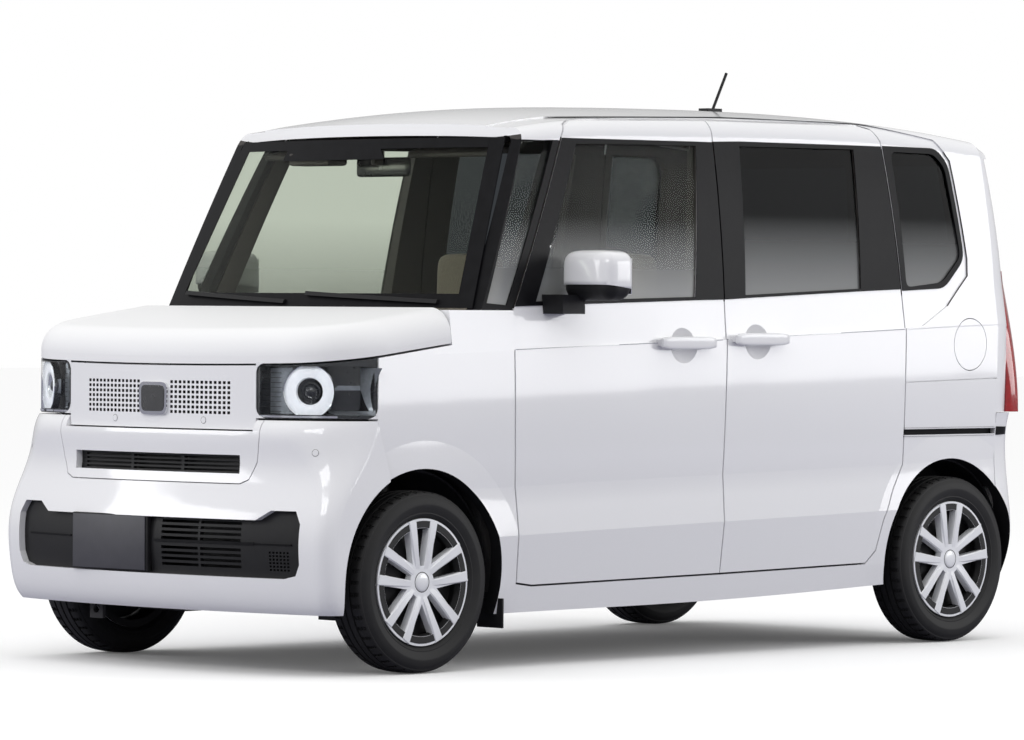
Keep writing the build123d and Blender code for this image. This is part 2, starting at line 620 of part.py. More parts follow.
# Black grilles in the bumper openings: a shell set back, slatted in the open parts
INSERT_T = 14.0
INSERT_DEPTH = 24.0
with BuildPart() as insert_solid:
    loft([plan_face(v.z, v.crown - INSERT_DEPTH, v.corner, v.half - INSERT_DEPTH, BUMPER_BACK_X)
          for v in BUMPER_LEVELS])
with BuildPart() as insert_hollow:
    loft([plan_face(v.z, v.crown - INSERT_DEPTH - INSERT_T, v.corner, v.half - INSERT_DEPTH - INSERT_T,
                    BUMPER_BACK_X - 20) for v in BUMPER_LEVELS])
insert_shell = cut(insert_solid.part, insert_hollow.part)
Slits = namedtuple("Slits", "y0 y1 z0 count pitch high")
LOWER_SLITS = [Slits(74.0, 230.0, 322.0, 4, 17.0, 9.0), Slits(238.0, 400.0, 322.0, 4, 17.0, 9.0),
               Slits(74.0, 230.0, 402.0, 4, 17.0, 9.0), Slits(238.0, 400.0, 402.0, 4, 17.0, 9.0)]
SLOT_SLITS = [Slits(-345.0, -120.0, 612.0, 4, 12.5, 6.5), Slits(-108.0, 108.0, 612.0, 4, 12.5, 6.5),
              Slits(120.0, 345.0, 612.0, 4, 12.5, 6.5)]
HOLE_PATCH = Slits(506.0, 584.0, 318.0, 6, 10.5, 6.0)
slit_tools = []
for group in LOWER_SLITS + SLOT_SLITS:
    for row in range(group.count):
        z = group.z0 + row * group.pitch
        slit_tools.append(box(1500, 1800, group.y0, group.y1, z, z + group.high))
for row in range(HOLE_PATCH.count):
    for column in range(HOLE_PATCH.count):
        z = HOLE_PATCH.z0 + row * HOLE_PATCH.pitch
        y = HOLE_PATCH.y0 + column * (HOLE_PATCH.y1 - HOLE_PATCH.y0) / HOLE_PATCH.count
        slit_tools.append(box(1500, 1800, y, y + HOLE_PATCH.high + 2, z, z + HOLE_PATCH.high))
lower_insert = common(insert_shell, lower_opening)
slot_insert = common(insert_shell, slot_opening)
save(cut(joined(lower_insert, slot_insert), *slit_tools), "bumper_grilles")

# Stays from the bumper to the rails, and the seam round its centre panel
STAY_Z = (505.0, 518.0)
STAY_WIDE = 40.0
for side in (-1, 1):
    y0 = side * (RAIL_Y[0] + RAIL_Y[1]) / 2 - STAY_WIDE / 2
    stay = common(bumper_solid.part, box(RAIL_FRONT_X, 1700, y0, y0 + STAY_WIDE, STAY_Z[0], STAY_Z[1]))
    front_bumper = joined(front_bumper, stay)
SEAM_WIDE = 3.0
CENTRE_PANEL = [(452, 800), (452, 716), (438, 640), (412, 588), (380, 575)]
panel_outer = CENTRE_PANEL + [(-y, z) for y, z in reversed(CENTRE_PANEL)]
panel_inner = [(y - SEAM_WIDE if y > 0 else y + SEAM_WIDE, z + SEAM_WIDE) for y, z in panel_outer]
panel_ring = cut(rear_prism(panel_outer, 1450.0, 1800.0), rear_prism(panel_inner, 1400.0, 1850.0))
front_bumper = cut(front_bumper, cut(panel_ring, insert_solid.part))
save(front_bumper, "front_bumper")

# Fender: nose side panel from the door to the lamp
fender_rows = [NOSE_FRONT, STATIONS[0], STATIONS[1]]
fender_solid = half_body(OUTER, fender_rows, True)
fender_inside = half_body(Skin(40.0, 40.0, 30.0, 60.0), fender_rows, True)
FENDER = [(FENDER_BACK_X, 140), (FENDER_BACK_X, COWL_Z), (NOSE_BACK_X - 3, COWL_Z),
          (NOSE_BACK_X - 3, SEAM_REAR_Z - 3), (LAMP_BACK_X, 960), (LAMP_BACK_X, LAMP_BOTTOM_Z - 6),
          (1333, 604), (1333, 140)]
fender = cut(common(fender_solid, side_prism(FENDER, y_in=600.0)), fender_inside, front_door_hole, front_arch)
fender = cut(fender, box(700, 1500, 0, 655, 0, 1200))
save(fender, "fender_left")
save(across(fender), "fender_right")


# Wipers that follow the windscreen, as y, z from pivot end to tip
WIPERS = [((560.0, 1126.0), (25.0, 1150.0)), ((-60.0, 1124.0), (-600.0, 1150.0))]
WIPER_WIDE = 12.0
wiper_layer = screen_slab(SCREEN_R + 12.0, SCREEN_R, 60.0, 60.0)
blades = []
for (y0, z0), (y1, z1) in WIPERS:
    strip = [(y0, z0), (y1, z1), (y1, z1 + WIPER_WIDE), (y0, z0 + WIPER_WIDE)]
    blades.append(common(wiper_layer, rear_prism(strip, 500.0, 1300.0)))
save(joined(*blades), "front_wipers")

# Cowl strip between bonnet and windscreen
COWL_HALF_Y = 650.0
with BuildPart() as cowl:
    with BuildSketch(Plane(origin=(0, COWL_HALF_Y, 0), x_dir=(1, 0, 0), z_dir=(0, -1, 0))):
        with BuildLine():
            Polyline((985, 1030), (1070, 1030), (1070, 1098), (1040, 1106), (985, 1106), close=True)
        make_face()
    extrude(amount=2 * COWL_HALF_Y)
save(cowl.part, "cowl")

# Floor, toe board, firewall and front rails in one pressing
RUNNER_Z = (283.0, 297.0)
TIE_R = 14.0
TIE_T = 12.0
TIE_Z = 165.0
TIE_PLATES = [(1525.0, -377.0, RAIL_Z[0] + 5.0), (-1560.0, 300.0, REAR_FLOOR_Z + 5.0)]
with BuildPart() as floor_pan:
    with BuildSketch(Plane(origin=(0, SILL_IN_Y, 0), x_dir=(1, 0, 0), z_dir=(0, -1, 0))):
        with BuildLine():
            Polyline((-930, FLOOR_Z), (800, FLOOR_Z), (800, 300), (900, 590), (985, 640), (985, 1040),
                     (960, 1040), (960, 660), (880, 615), (770, FLOOR_Z + FLOOR_T),
                     (-930, FLOOR_Z + FLOOR_T), close=True)
        make_face()
    extrude(amount=2 * SILL_IN_Y)
    add(box(-960, -930, -SILL_IN_Y, SILL_IN_Y, FLOOR_Z, REAR_FLOOR_Z + FLOOR_T))
    add(box(-1630, -930, -REAR_FLOOR_HALF, REAR_FLOOR_HALF, REAR_FLOOR_Z, REAR_FLOOR_Z + FLOOR_T))
    for side in (-1, 1):
        y0 = min(side * RAIL_Y[0], side * RAIL_Y[1])
        add(box(830, RAIL_FRONT_X, y0, y0 + RAIL_Y[1] - RAIL_Y[0], RAIL_Z[0], RAIL_Z[1]))
    for side in (-1, 1):
        y0 = min(side * SILL_IN_Y, side * DOOR_IN_Y)
        add(box(-820, -260, y0, y0 + DOOR_IN_Y - SILL_IN_Y, RUNNER_Z[0], RUNNER_Z[1]))
        y2 = min(side * (SILL_IN_Y - 30), side * SILL_IN_Y)
        add(box(-820, -260, y2, y2 + 30, FLOOR_Z, RUNNER_Z[1]))
    for x, y, top in TIE_PLATES:
        add(box(x - TIE_T / 2, x + TIE_T / 2, y - 30, y + 30, TIE_Z - 30, top))
        with BuildSketch(Plane(origin=(x - TIE_T, y, TIE_Z), x_dir=(0, 1, 0), z_dir=(1, 0, 0))):
            Circle(TIE_R)
        extrude(amount=2 * TIE_T, mode=Mode.SUBTRACT)
save(floor_pan.part, "floor_pan")

# Wheel housings over the four wheels
LINER_T = 7.0
front_ring = cut(cross_cylinder(FRONT_AXLE_X, TYRE_R, ARCH_R - 2, RAIL_Y[1], 652.0),
                 cross_cylinder(FRONT_AXLE_X, TYRE_R, ARCH_R - 2 - LINER_T, RAIL_Y[1] - 5, 660.0))
front_ring = cut(front_ring, box(700, 1700, 300, 700, -200, 330), box(1340, 1700, 300, 700, -200, 460))
rear_ring = cut(cross_cylinder(REAR_AXLE_X + REAR_ARCH_AHEAD, REAR_ARCH_Z, REAR_ARCH_R, 517.0, 670.0),
                cross_cylinder(REAR_AXLE_X + REAR_ARCH_AHEAD, REAR_ARCH_Z, REAR_ARCH_R - LINER_T, 523.0, 680.0))
rear_ring = cut(rear_ring, box(-1800, -900, 400, 700, -200, 300),
                box(REAR_AXLE_X - 90, REAR_AXLE_X + 90, 500, 560, 0, 360))
save(joined(front_ring, across(front_ring), rear_ring, across(rear_ring)), "wheel_housings")

# Engine and gearbox as one block, radiator, tank and exhaust
ENGINE_X = (1080.0, 1440.0)
ENGINE_Z = (300.0, 760.0)
save(box(ENGINE_X[0], ENGINE_X[1], -RAIL_Y[0], RAIL_Y[0], ENGINE_Z[0], ENGINE_Z[1]), "engine_block")
save(box(1500, 1536, -RAIL_Y[0], RAIL_Y[0], 330, 720), "radiator")
save(box(-330, 360, -430, 430, 172, FLOOR_Z), "fuel_tank")
EXHAUST_Y = -485.0
EXHAUST_R = 19.0
with BuildPart() as exhaust:
    with BuildSketch(Plane(origin=(700, EXHAUST_Y, 206), x_dir=(0, 1, 0), z_dir=(1, 0, 0))):
        Circle(EXHAUST_R)
    extrude(amount=-2180)
    add(box(-1600, -1450, -500, -120, 214, 330))
    with BuildSketch(Plane(origin=(-1500, -400, 189), x_dir=(0, 1, 0), z_dir=(1, 0, 0))):
        Circle(EXHAUST_R)
    extrude(amount=-185)
    add(box(-1500, -1480, -420, -380, 189, 230))
    add(box(290, 310, EXHAUST_Y - 10, EXHAUST_Y + 10, 206, FLOOR_Z))
    add(box(-1540, -1520, -310, -290, 320, REAR_FLOOR_Z))
save(exhaust.part, "exhaust")

# Front subframe with the lower arms
ARM_Z = (148.0, 172.0)
BALL_PIN_R = 9.0
BALL_PIN_L = 26.0
with BuildPart() as subframe:
    add(box(1040, 1240, -RAIL_Y[1], RAIL_Y[1], 205, 245))
    for side in (-1, 1):
        y0 = min(side * RAIL_Y[0], side * RAIL_Y[1])
        add(box(1090, 1190, y0, y0 + RAIL_Y[1] - RAIL_Y[0], 245, RAIL_Z[0]))
        y1 = min(side * 300.0, side * 330.0)
        add(box(1060, 1220, y1, y1 + 30, ARM_Z[0], 205))
        with BuildSketch(Plane(origin=(0, 0, ARM_Z[0]))):
            with BuildLine():
                Polyline((1060, side * 300), (FRONT_AXLE_X - 35, side * 520), (FRONT_AXLE_X - 30, side * 598),
                         (FRONT_AXLE_X + 30, side * 598), (FRONT_AXLE_X + 35, side * 520), (1220, side * 300),
                         close=True)
            make_face()
        extrude(amount=ARM_Z[1] - ARM_Z[0])
        with BuildSketch(Plane(origin=(FRONT_AXLE_X, side * KINGPIN_Y, ARM_Z[1]))):
            Circle(BALL_PIN_R)
        extrude(amount=BALL_PIN_L)
save(subframe.part, "front_subframe")

# Front knuckle with brake disc, spindle and strut
DISC_R = 100.0
KNUCKLE_GAP = 2.0
SPINDLE_END_Y = TRACK / 2 + HUB_FACE_OUT
with BuildPart() as knuckle:
    add(box(FRONT_AXLE_X - 42, FRONT_AXLE_X + 42, 560, 598, ARM_Z[1] + KNUCKLE_GAP, 392))
    add(cross_cylinder(FRONT_AXLE_X, TYRE_R, 60.0, 590.0, 606.0))
    add(cross_cylinder(FRONT_AXLE_X, TYRE_R, DISC_R, 604.0, 618.0))
    add(cross_cylinder(FRONT_AXLE_X, TYRE_R, SPINDLE_R, 610.0, SPINDLE_END_Y))
    add(box(FRONT_AXLE_X - 34, FRONT_AXLE_X + 34, 510, 566, 340, 392))
    with BuildSketch(Plane(origin=(FRONT_AXLE_X, KINGPIN_Y, ARM_Z[1]))):
        Circle(BALL_PIN_R + SPINDLE_CLEARANCE)
    extrude(amount=BALL_PIN_L + KNUCKLE_GAP, mode=Mode.SUBTRACT)
    with BuildSketch(Plane(origin=(FRONT_AXLE_X, 526, 340))):
        Circle(28)
    extrude(amount=255)
save(knuckle.part, "knuckle_left")
save(across(knuckle.part), "knuckle_right")

# Rear torsion beam axle with drums and spindles
with BuildPart() as rear_axle:
    add(box(-1160, -1095, -470, 470, 238, 298))
    for side in (-1, 1):
        y0 = min(side * 440.0, side * 512.0)
        add(box(REAR_AXLE_X - 50, -965, y0, y0 + 72, 240, 300))
        add(box(-1015, -965, y0, y0 + 72, 300, REAR_FLOOR_Z))
        y1 = min(side * 510.0, side * 560.0)
        add(box(REAR_AXLE_X - 45, REAR_AXLE_X + 45, y1, y1 + 50, 240, 330))
        with BuildSketch(Plane(origin=(-1250, side * 466, 298))):
            Circle(42)
        extrude(amount=REAR_FLOOR_Z - 298)
        drum = cross_cylinder(REAR_AXLE_X, TYRE_R, 105.0, 556.0, 628.0)
        pin = cross_cylinder(REAR_AXLE_X, TYRE_R, SPINDLE_R, 620.0, SPINDLE_END_Y)
        add(drum if side > 0 else across(drum))
        add(pin if side > 0 else across(pin))
save(rear_axle.part, "rear_axle")

# Wheels: tyre and rim about their own centre, outer face to the left
with BuildPart() as tyre:
    with BuildSketch(Plane(origin=(0, 0, 0), x_dir=(1, 0, 0), z_dir=(0, 0, 1))):
        with BuildLine():
            Polyline((RIM_R + 0.3, -54), (RIM_R + 0.3, 54), (RIM_LIP_R + 6, 55))
            ThreePointArc((RIM_LIP_R + 6, 55), (RIM_LIP_R + 40, TYRE_W / 2), (TYRE_R - 16, 66))
            ThreePointArc((TYRE_R - 16, 66), (TYRE_R - 5, 60), (TYRE_R - 2, 50))
            ThreePointArc((TYRE_R - 2, 50), (TYRE_R, 0), (TYRE_R - 2, -50))
            ThreePointArc((TYRE_R - 2, -50), (TYRE_R - 5, -60), (TYRE_R - 16, -66))
            ThreePointArc((TYRE_R - 16, -66), (RIM_LIP_R + 40, -TYRE_W / 2), (RIM_LIP_R + 6, -55))
            Line((RIM_LIP_R + 6, -55), (RIM_R + 0.3, -54))
        make_face()
    revolve(axis=Axis.Y)

SPOKE_PAIRS = 5
SPOKE_Y = (36.0, 60.0)
HUB_R = 50.0
End = namedtuple("End", "radius apart half")
SPOKE_IN = End(30.0, 20.0, 15.0)
SPOKE_OUT = End(RIM_R - 12.0, 43.0, 15.0)


def spoke(side, degrees):
    """Corner points of one spoke of a pair, turned about the wheel centre."""
    ends = [(SPOKE_IN, -1), (SPOKE_OUT, -1), (SPOKE_OUT, 1), (SPOKE_IN, 1)]
    points = [(end.radius, side * end.apart + edge * end.half) for end, edge in ends]
    turn = radians(degrees)
    return [(x * cos(turn) - y * sin(turn), x * sin(turn) + y * cos(turn)) for x, y in points]


with BuildPart() as rim:
    with BuildSketch(Plane(origin=(0, 0, 0), x_dir=(1, 0, 0), z_dir=(0, 0, 1))):
        with BuildLine():
            Polyline((RIM_R - 9, -RIM_W / 2), (RIM_LIP_R, -RIM_W / 2), (RIM_LIP_R, -RIM_W / 2 + 6),
                     (RIM_R, -RIM_W / 2 + 8), (RIM_R, RIM_W / 2 - 8), (RIM_LIP_R, RIM_W / 2 - 6),
                     (RIM_LIP_R, RIM_W / 2), (RIM_R - 16, RIM_W / 2), (RIM_R - 16, RIM_W / 2 - 18),
                     (RIM_R - 9, RIM_W / 2 - 26), close=True)
        make_face()
    revolve(axis=Axis.Y)
    with BuildSketch(Plane(origin=(0, SPOKE_Y[1], 0), x_dir=(1, 0, 0), z_dir=(0, -1, 0))):
        Circle(HUB_R)
        for pair in range(SPOKE_PAIRS):
            for side in (-1, 1):
                with BuildLine():
                    Polyline(*spoke(side, 90.0 + pair * 360.0 / SPOKE_PAIRS), close=True)
                make_face()
    extrude(amount=SPOKE_Y[1] - SPOKE_Y[0])
    add(cross_cylinder(0, 0, 34.0, -8.0, SPOKE_Y[1] - 2))
    add(cross_cylinder(0, 0, SPINDLE_R + SPINDLE_CLEARANCE, -40.0, HUB_FACE_OUT + 2), mode=Mode.SUBTRACT)

for name, x in [("front", FRONT_AXLE_X), ("rear", REAR_AXLE_X)]:
    at = Location((x, TRACK / 2, TYRE_R))
    for kind, piece in [("tyre", tyre.part), ("rim", rim.part)]:
        placed = piece.moved(at)
        save(placed, f"{kind}_{name}_left")
        save(across(placed), f"{kind}_{name}_right")

# Seats
FRONT_SEAT_Y = 345.0
SEAT_ROUND = 38.0
HEAD_ROUND = 30.0


def seat(width, base_x, cushion_x, back_x, cushion_z, top_z, floor_z):
    """One seat: plinth, cushion, reclined back and head rest on the centre line."""
    with BuildPart() as chair:
        with BuildSketch(Plane(origin=(0, width / 2, 0), x_dir=(1, 0, 0), z_dir=(0, -1, 0))):
            with BuildLine():
                Polyline((back_x, cushion_z - 130), (cushion_x, cushion_z - 110), (cushion_x, cushion_z),
                         (back_x + 90, cushion_z - 30), (back_x - 10, top_z), (back_x - 110, top_z),
                         (back_x - 30, cushion_z - 100), close=True)
            make_face()
        extrude(amount=width)
        fillet(chair.edges(), SEAT_ROUND)
        add(box(base_x[0], base_x[1], -width / 2 + 50, width / 2 - 50, floor_z, cushion_z - 100))
    return chair.part


front_seat = seat(480.0, (40, 380), 440.0, -40.0, 570.0, 1110.0, FLOOR_Z + FLOOR_T)
with BuildPart() as head_rest:
    add(box(-140, -55, -125, 125, 1100, 1290))
    fillet(head_rest.edges(), HEAD_ROUND)
front_seat = joined(front_seat, head_rest.part)
left_seat = front_seat.moved(Location((0, FRONT_SEAT_Y, 0)))
save(joined(left_seat, across(left_seat)), "front_seats")
rear_bench = seat(1120.0, (-840, -560), -440.0, -860.0, 590.0, 1090.0, FLOOR_Z + FLOOR_T)
save(rear_bench, "rear_seat")

# Dashboard and steering wheel on the right-hand side
with BuildPart() as dash:
    with BuildSketch(Plane(origin=(0, 640, 0), x_dir=(1, 0, 0), z_dir=(0, -1, 0))):
        with BuildLine():
            Polyline((960, 1038), (940, 1052), (800, 1062), (712, 1020), (722, 860), (790, 700), (900, 660), (960, 700),
                     close=True)
        make_face()
    extrude(amount=1280)
WHEEL_AT = (560.0, -340.0, 950.0)
COLUMN_TILT = 24.0
column_dir = (-cos(radians(COLUMN_TILT)), 0, sin(radians(COLUMN_TILT)))
column_plane = Plane(origin=WHEEL_AT, x_dir=(0, 1, 0), z_dir=column_dir)
COLUMN_R = 14.0
with BuildPart() as dashboard:
    add(dash.part)
    with BuildSketch(column_plane):
        Circle(COLUMN_R)
    extrude(amount=-220)
save(dashboard.part, "dashboard")
with BuildPart() as steering_wheel:
    with BuildSketch(Plane(origin=WHEEL_AT, x_dir=column_dir, z_dir=(0, 1, 0)).offset(0)) as rim_ring:
        with Locations((22, 178)):
            Circle(15)
    revolve(axis=Axis(WHEEL_AT, column_dir))
    with BuildSketch(column_plane.offset(8)):
        Circle(62)
        Rectangle(350, 34)
        with Locations((0, -80)):
            Rectangle(34, 165)
    extrude(amount=26)
    with BuildSketch(column_plane.offset(-30)):
        Circle(34)
        Circle(COLUMN_R + 0.3, mode=Mode.SUBTRACT)
    extrude(amount=40)
    with BuildSketch(column_plane.offset(-30)):
        Circle(COLUMN_R + 0.3)
    extrude(amount=31, mode=Mode.SUBTRACT)
save(steering_wheel.part, "steering_wheel")

# Door mirrors: a rounded shell, black below and a painted cap above, on a foot at the belt
MIRROR_AT = (545.0, 840.0, 1214.0)
MIRROR_SIZE = (120.0, 212.0, 152.0)
MIRROR_ROUND = 44.0
CAP_SPLIT = [(400, 1206), (520, 1196), (590, 1232), (700, 1240), (700, 1400), (400, 1400)]
with BuildPart() as mirror_shell:
    with Locations(MIRROR_AT):
        Box(*MIRROR_SIZE)
    fillet(mirror_shell.edges(), MIRROR_ROUND)
cap_zone = side_prism(CAP_SPLIT)
mirror_cap = common(mirror_shell.part, cap_zone)
mirror_foot = joined(cut(mirror_shell.part, cap_zone), box(560, 660, 690, 800, 1096, 1156))
mirror_foot = cut(mirror_foot, stepped_half)
for name, piece in [("mirror", mirror_foot), ("mirror_cap", mirror_cap)]:
    save(piece, name + "_left")
    save(across(piece), name + "_right")

# Door handles: bars on two feet across the recesses
HANDLE_L = 258.0
HANDLE_HIGH = 30.0
HANDLE_Y = (750.0, 764.0)
grips = []
for name, x, z in HANDLES:
    with BuildPart() as handle:
        add(box(x - HANDLE_L / 2, x + HANDLE_L / 2, HANDLE_Y[0], HANDLE_Y[1], z - HANDLE_HIGH / 2, z + HANDLE_HIGH / 2))
        fillet(handle.edges(), 6)
        add(box(x - HANDLE_L / 2 + 4, x - HANDLE_L / 2 + 30, 700, 758, z - 9, z + 9))
        add(box(x + HANDLE_L / 2 - 30, x + HANDLE_L / 2 - 4, 700, 758, z - 9, z + 9))
    grips.append(cut(handle.part, solid_half))
save(grips[0], "front_door_handle_left")
save(across(grips[0]), "front_door_handle_right")
save(joined(grips[1], across(grips[1])), "sliding_door_handles")

# Roof aerial
AERIAL_AT = (-908.0, 0.0)
with BuildPart() as aerial:
    with BuildSketch(Plane(origin=(AERIAL_AT[0], 0, 1770), z_dir=(-0.48, 0, 0.877))):
        Circle(5)
    extrude(amount=168)
    with Locations((AERIAL_AT[0], 0, 1782)):
        Box(70, 44, 26)
save(cut(aerial.part, outer_half, across(outer_half)), "aerial")
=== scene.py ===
"""Tall kei wagon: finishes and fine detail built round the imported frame."""

import json
import logging
import math
from dataclasses import dataclass
from enum import Enum
from typing import Callable, Optional, Sequence

import bmesh
import bpy
import numpy as np
from mathutils import Matrix, Vector
from mathutils.bvhtree import BVHTree
from mathutils.geometry import delaunay_2d_cdt


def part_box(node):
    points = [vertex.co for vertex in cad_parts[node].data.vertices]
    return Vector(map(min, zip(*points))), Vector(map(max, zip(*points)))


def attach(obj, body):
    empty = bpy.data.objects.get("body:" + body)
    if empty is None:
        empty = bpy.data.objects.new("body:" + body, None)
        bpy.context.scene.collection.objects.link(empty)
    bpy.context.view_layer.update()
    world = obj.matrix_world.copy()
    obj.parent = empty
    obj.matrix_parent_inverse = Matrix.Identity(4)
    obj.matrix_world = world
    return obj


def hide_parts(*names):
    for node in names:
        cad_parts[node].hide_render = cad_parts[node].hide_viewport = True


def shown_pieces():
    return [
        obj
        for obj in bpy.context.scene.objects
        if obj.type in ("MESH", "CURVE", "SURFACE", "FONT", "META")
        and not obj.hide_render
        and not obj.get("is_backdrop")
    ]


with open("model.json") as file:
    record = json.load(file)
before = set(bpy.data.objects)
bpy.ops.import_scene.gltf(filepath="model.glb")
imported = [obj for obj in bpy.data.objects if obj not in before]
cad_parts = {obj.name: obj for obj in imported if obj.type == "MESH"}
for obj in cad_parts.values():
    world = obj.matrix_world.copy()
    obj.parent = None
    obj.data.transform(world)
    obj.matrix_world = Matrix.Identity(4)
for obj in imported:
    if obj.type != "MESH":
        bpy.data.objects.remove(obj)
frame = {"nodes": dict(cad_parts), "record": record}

LOG = logging.getLogger("kei_wagon")
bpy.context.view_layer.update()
MM = 0.001

Point = tuple[float, float]
Solid = tuple[float, float, float]
Pad = tuple[Solid, Solid, float, float]
Lamp = tuple[str, Solid, Solid, Point, float]
Room = tuple[Point, Point, Point]


class Body(str, Enum):
    """Rigid bodies that pieces ride on, apart from the doors and wheels named by their side."""

    SHELL = "body"
    TAILGATE = "tailgate"


class Side(int, Enum):
    """Left or right of the car, as the sign of y."""

    LEFT = 1
    RIGHT = -1


def linear(code: str) -> tuple[float, float, float, float]:
    """Turn an sRGB hex code into linear light.

    Args:
        code: Six hex digits.

    Returns:
        Linear red, green, blue and an alpha of one.
    """
    parts = [int(code[i : i + 2], 16) / 255 for i in (0, 2, 4)]
    lin = [c / 12.92 if c <= 0.04045 else ((c + 0.055) / 1.055) ** 2.4 for c in parts]
    return (lin[0], lin[1], lin[2], 1.0)


def add_node(tree: bpy.types.NodeTree, kind: str, **values: object) -> bpy.types.Node:
    """Add one shader node and set its sockets and properties.

    Args:
        tree: Node tree that gets the node.
        kind: Node type name.
        values: Socket or property values by name, spaces as underscores.

    Returns:
        The new node.
    """
    made = tree.nodes.new(kind)
    for key, value in values.items():
        socket = made.inputs.get(key.replace("_", " "))
        if socket is not None:
            socket.default_value = value
        else:
            setattr(made, key, value)
    return made


@dataclass(frozen=True)
class Finish:
    """A plain finish with one colour.

    Attributes:
        name: Material name.
        colour: sRGB hex code.
        roughness: Surface roughness.
        metallic: One for bare metal.
        coat: Weight of the clear coat.
        coat_roughness: Roughness of the clear coat.
        transmission: One for clear material.
        ior: Refractive index.
        grain_mm: Size of a fine surface grain, none if zero.
        grain_depth: Strength of the grain.
        glow: Emission strength.
        specular: Strength of the plain reflection.
        sheen: Weight of the cloth sheen.
        vary_mm: Size of a soft colour variation, none if zero.
        vary_to: Colour that it drifts to, as a hex code.
        vary_share: Largest share of that colour.
        weave_mm: Pitch of a woven thread, none if zero.
        slot: Record slot it goes with, not used.
    """

    name: str
    colour: str
    roughness: float = 0.5
    metallic: float = 0.0
    coat: float = 0.0
    coat_roughness: float = 0.03
    transmission: float = 0.0
    ior: float = 1.5
    grain_mm: float = 0.0
    grain_depth: float = 0.0
    glow: float = 0.0
    specular: float = 0.5
    sheen: float = 0.0
    vary_mm: float = 0.0
    vary_to: str = "808080"
    vary_share: float = 0.0
    weave_mm: float = 0.0
    slot: str = ""

    def material(self) -> bpy.types.Material:
        """Build the material once and hand out the same one later.

        Returns:
            The material.
        """
        found = bpy.data.materials.get(self.name)
        if found is not None and found.get("made_here"):
            return found
        made = bpy.data.materials.new(self.name)
        made["made_here"] = True
        made.use_nodes = True
        tree = made.node_tree
        bsdf = tree.nodes["Principled BSDF"]
        settings = {
            "Base Color": linear(self.colour),
            "Roughness": self.roughness,
            "Metallic": self.metallic,
            "Coat Weight": self.coat,
            "Coat Roughness": self.coat_roughness,
            "Transmission Weight": self.transmission,
            "IOR": self.ior,
            "Sheen Weight": self.sheen,
            "Specular IOR Level": self.specular,
        }
        for name, value in settings.items():
            bsdf.inputs[name].default_value = value
        if self.glow:
            bsdf.inputs["Emission Color"].default_value = linear(self.colour)
            bsdf.inputs["Emission Strength"].default_value = self.glow
        self.pattern(tree, bsdf, add_node(tree, "ShaderNodeTexCoord"))
        return made

    def pattern(self, tree: bpy.types.NodeTree, bsdf: bpy.types.Node, place: bpy.types.Node) -> None:
        """Add the drift and the relief that the finish asks for.

        Args:
            tree: Node tree of the material.
            bsdf: Surface node.
            place: Texture coordinates.
        """
        if self.vary_mm:
            self.add_drift(tree, bsdf, place)
        if self.grain_mm or self.weave_mm:
            self.add_relief(tree, bsdf, place)

    def add_drift(self, tree: bpy.types.NodeTree, bsdf: bpy.types.Node, place: bpy.types.Node) -> None:
        """Let the colour and the gloss drift a little over the surface.

        Args:
            tree: Node tree of the material.
            bsdf: Surface node.
            place: Texture coordinates.
        """
        noise = add_node(tree, "ShaderNodeTexNoise", Scale=1.0 / (self.vary_mm * MM), Detail=4.0)
        share = add_node(tree, "ShaderNodeMapRange", From_Min=0.35, From_Max=0.7, To_Max=self.vary_share)
        mix = add_node(tree, "ShaderNodeMix", data_type="RGBA")
        mix.inputs[6].default_value = linear(self.colour)
        mix.inputs[7].default_value = linear(self.vary_to)
        gloss = add_node(tree, "ShaderNodeMapRange", To_Min=max(self.roughness - 0.04, 0.0),
                         To_Max=min(self.roughness + 0.06, 1.0))
        tree.links.new(place.outputs["Object"], noise.inputs["Vector"])
        tree.links.new(noise.outputs["Fac"], share.inputs["Value"])
        tree.links.new(noise.outputs["Fac"], gloss.inputs["Value"])
        tree.links.new(share.outputs["Result"], mix.inputs[0])
        tree.links.new(mix.outputs[2], bsdf.inputs["Base Color"])
        tree.links.new(gloss.outputs["Result"], bsdf.inputs["Roughness"])

    def add_relief(self, tree: bpy.types.NodeTree, bsdf: bpy.types.Node, place: bpy.types.Node) -> None:
        """Raise a fine grain, or the threads of a woven cloth.

        Args:
            tree: Node tree of the material.
            bsdf: Surface node.
            place: Texture coordinates.
        """
        pitch = self.weave_mm or self.grain_mm
        bump = add_node(tree, "ShaderNodeBump", Strength=self.grain_depth, Distance=0.1 * pitch * MM)
        if self.weave_mm:
            product = add_node(tree, "ShaderNodeMath", operation="MULTIPLY")
            for i, way in enumerate(("Y", "DIAGONAL")):
                thread = add_node(tree, "ShaderNodeTexWave", bands_direction=way)
                thread.inputs["Scale"].default_value = 0.314 / (self.weave_mm * MM)
                tree.links.new(place.outputs["Object"], thread.inputs["Vector"])
                tree.links.new(thread.outputs["Fac"], product.inputs[i])
            tree.links.new(product.outputs[0], bump.inputs["Height"])
        else:
            noise = add_node(tree, "ShaderNodeTexNoise", Scale=1.0 / (self.grain_mm * MM), Detail=2.0)
            tree.links.new(place.outputs["Object"], noise.inputs["Vector"])
            tree.links.new(noise.outputs["Fac"], bump.inputs["Height"])
        tree.links.new(bump.outputs["Normal"], bsdf.inputs["Normal"])


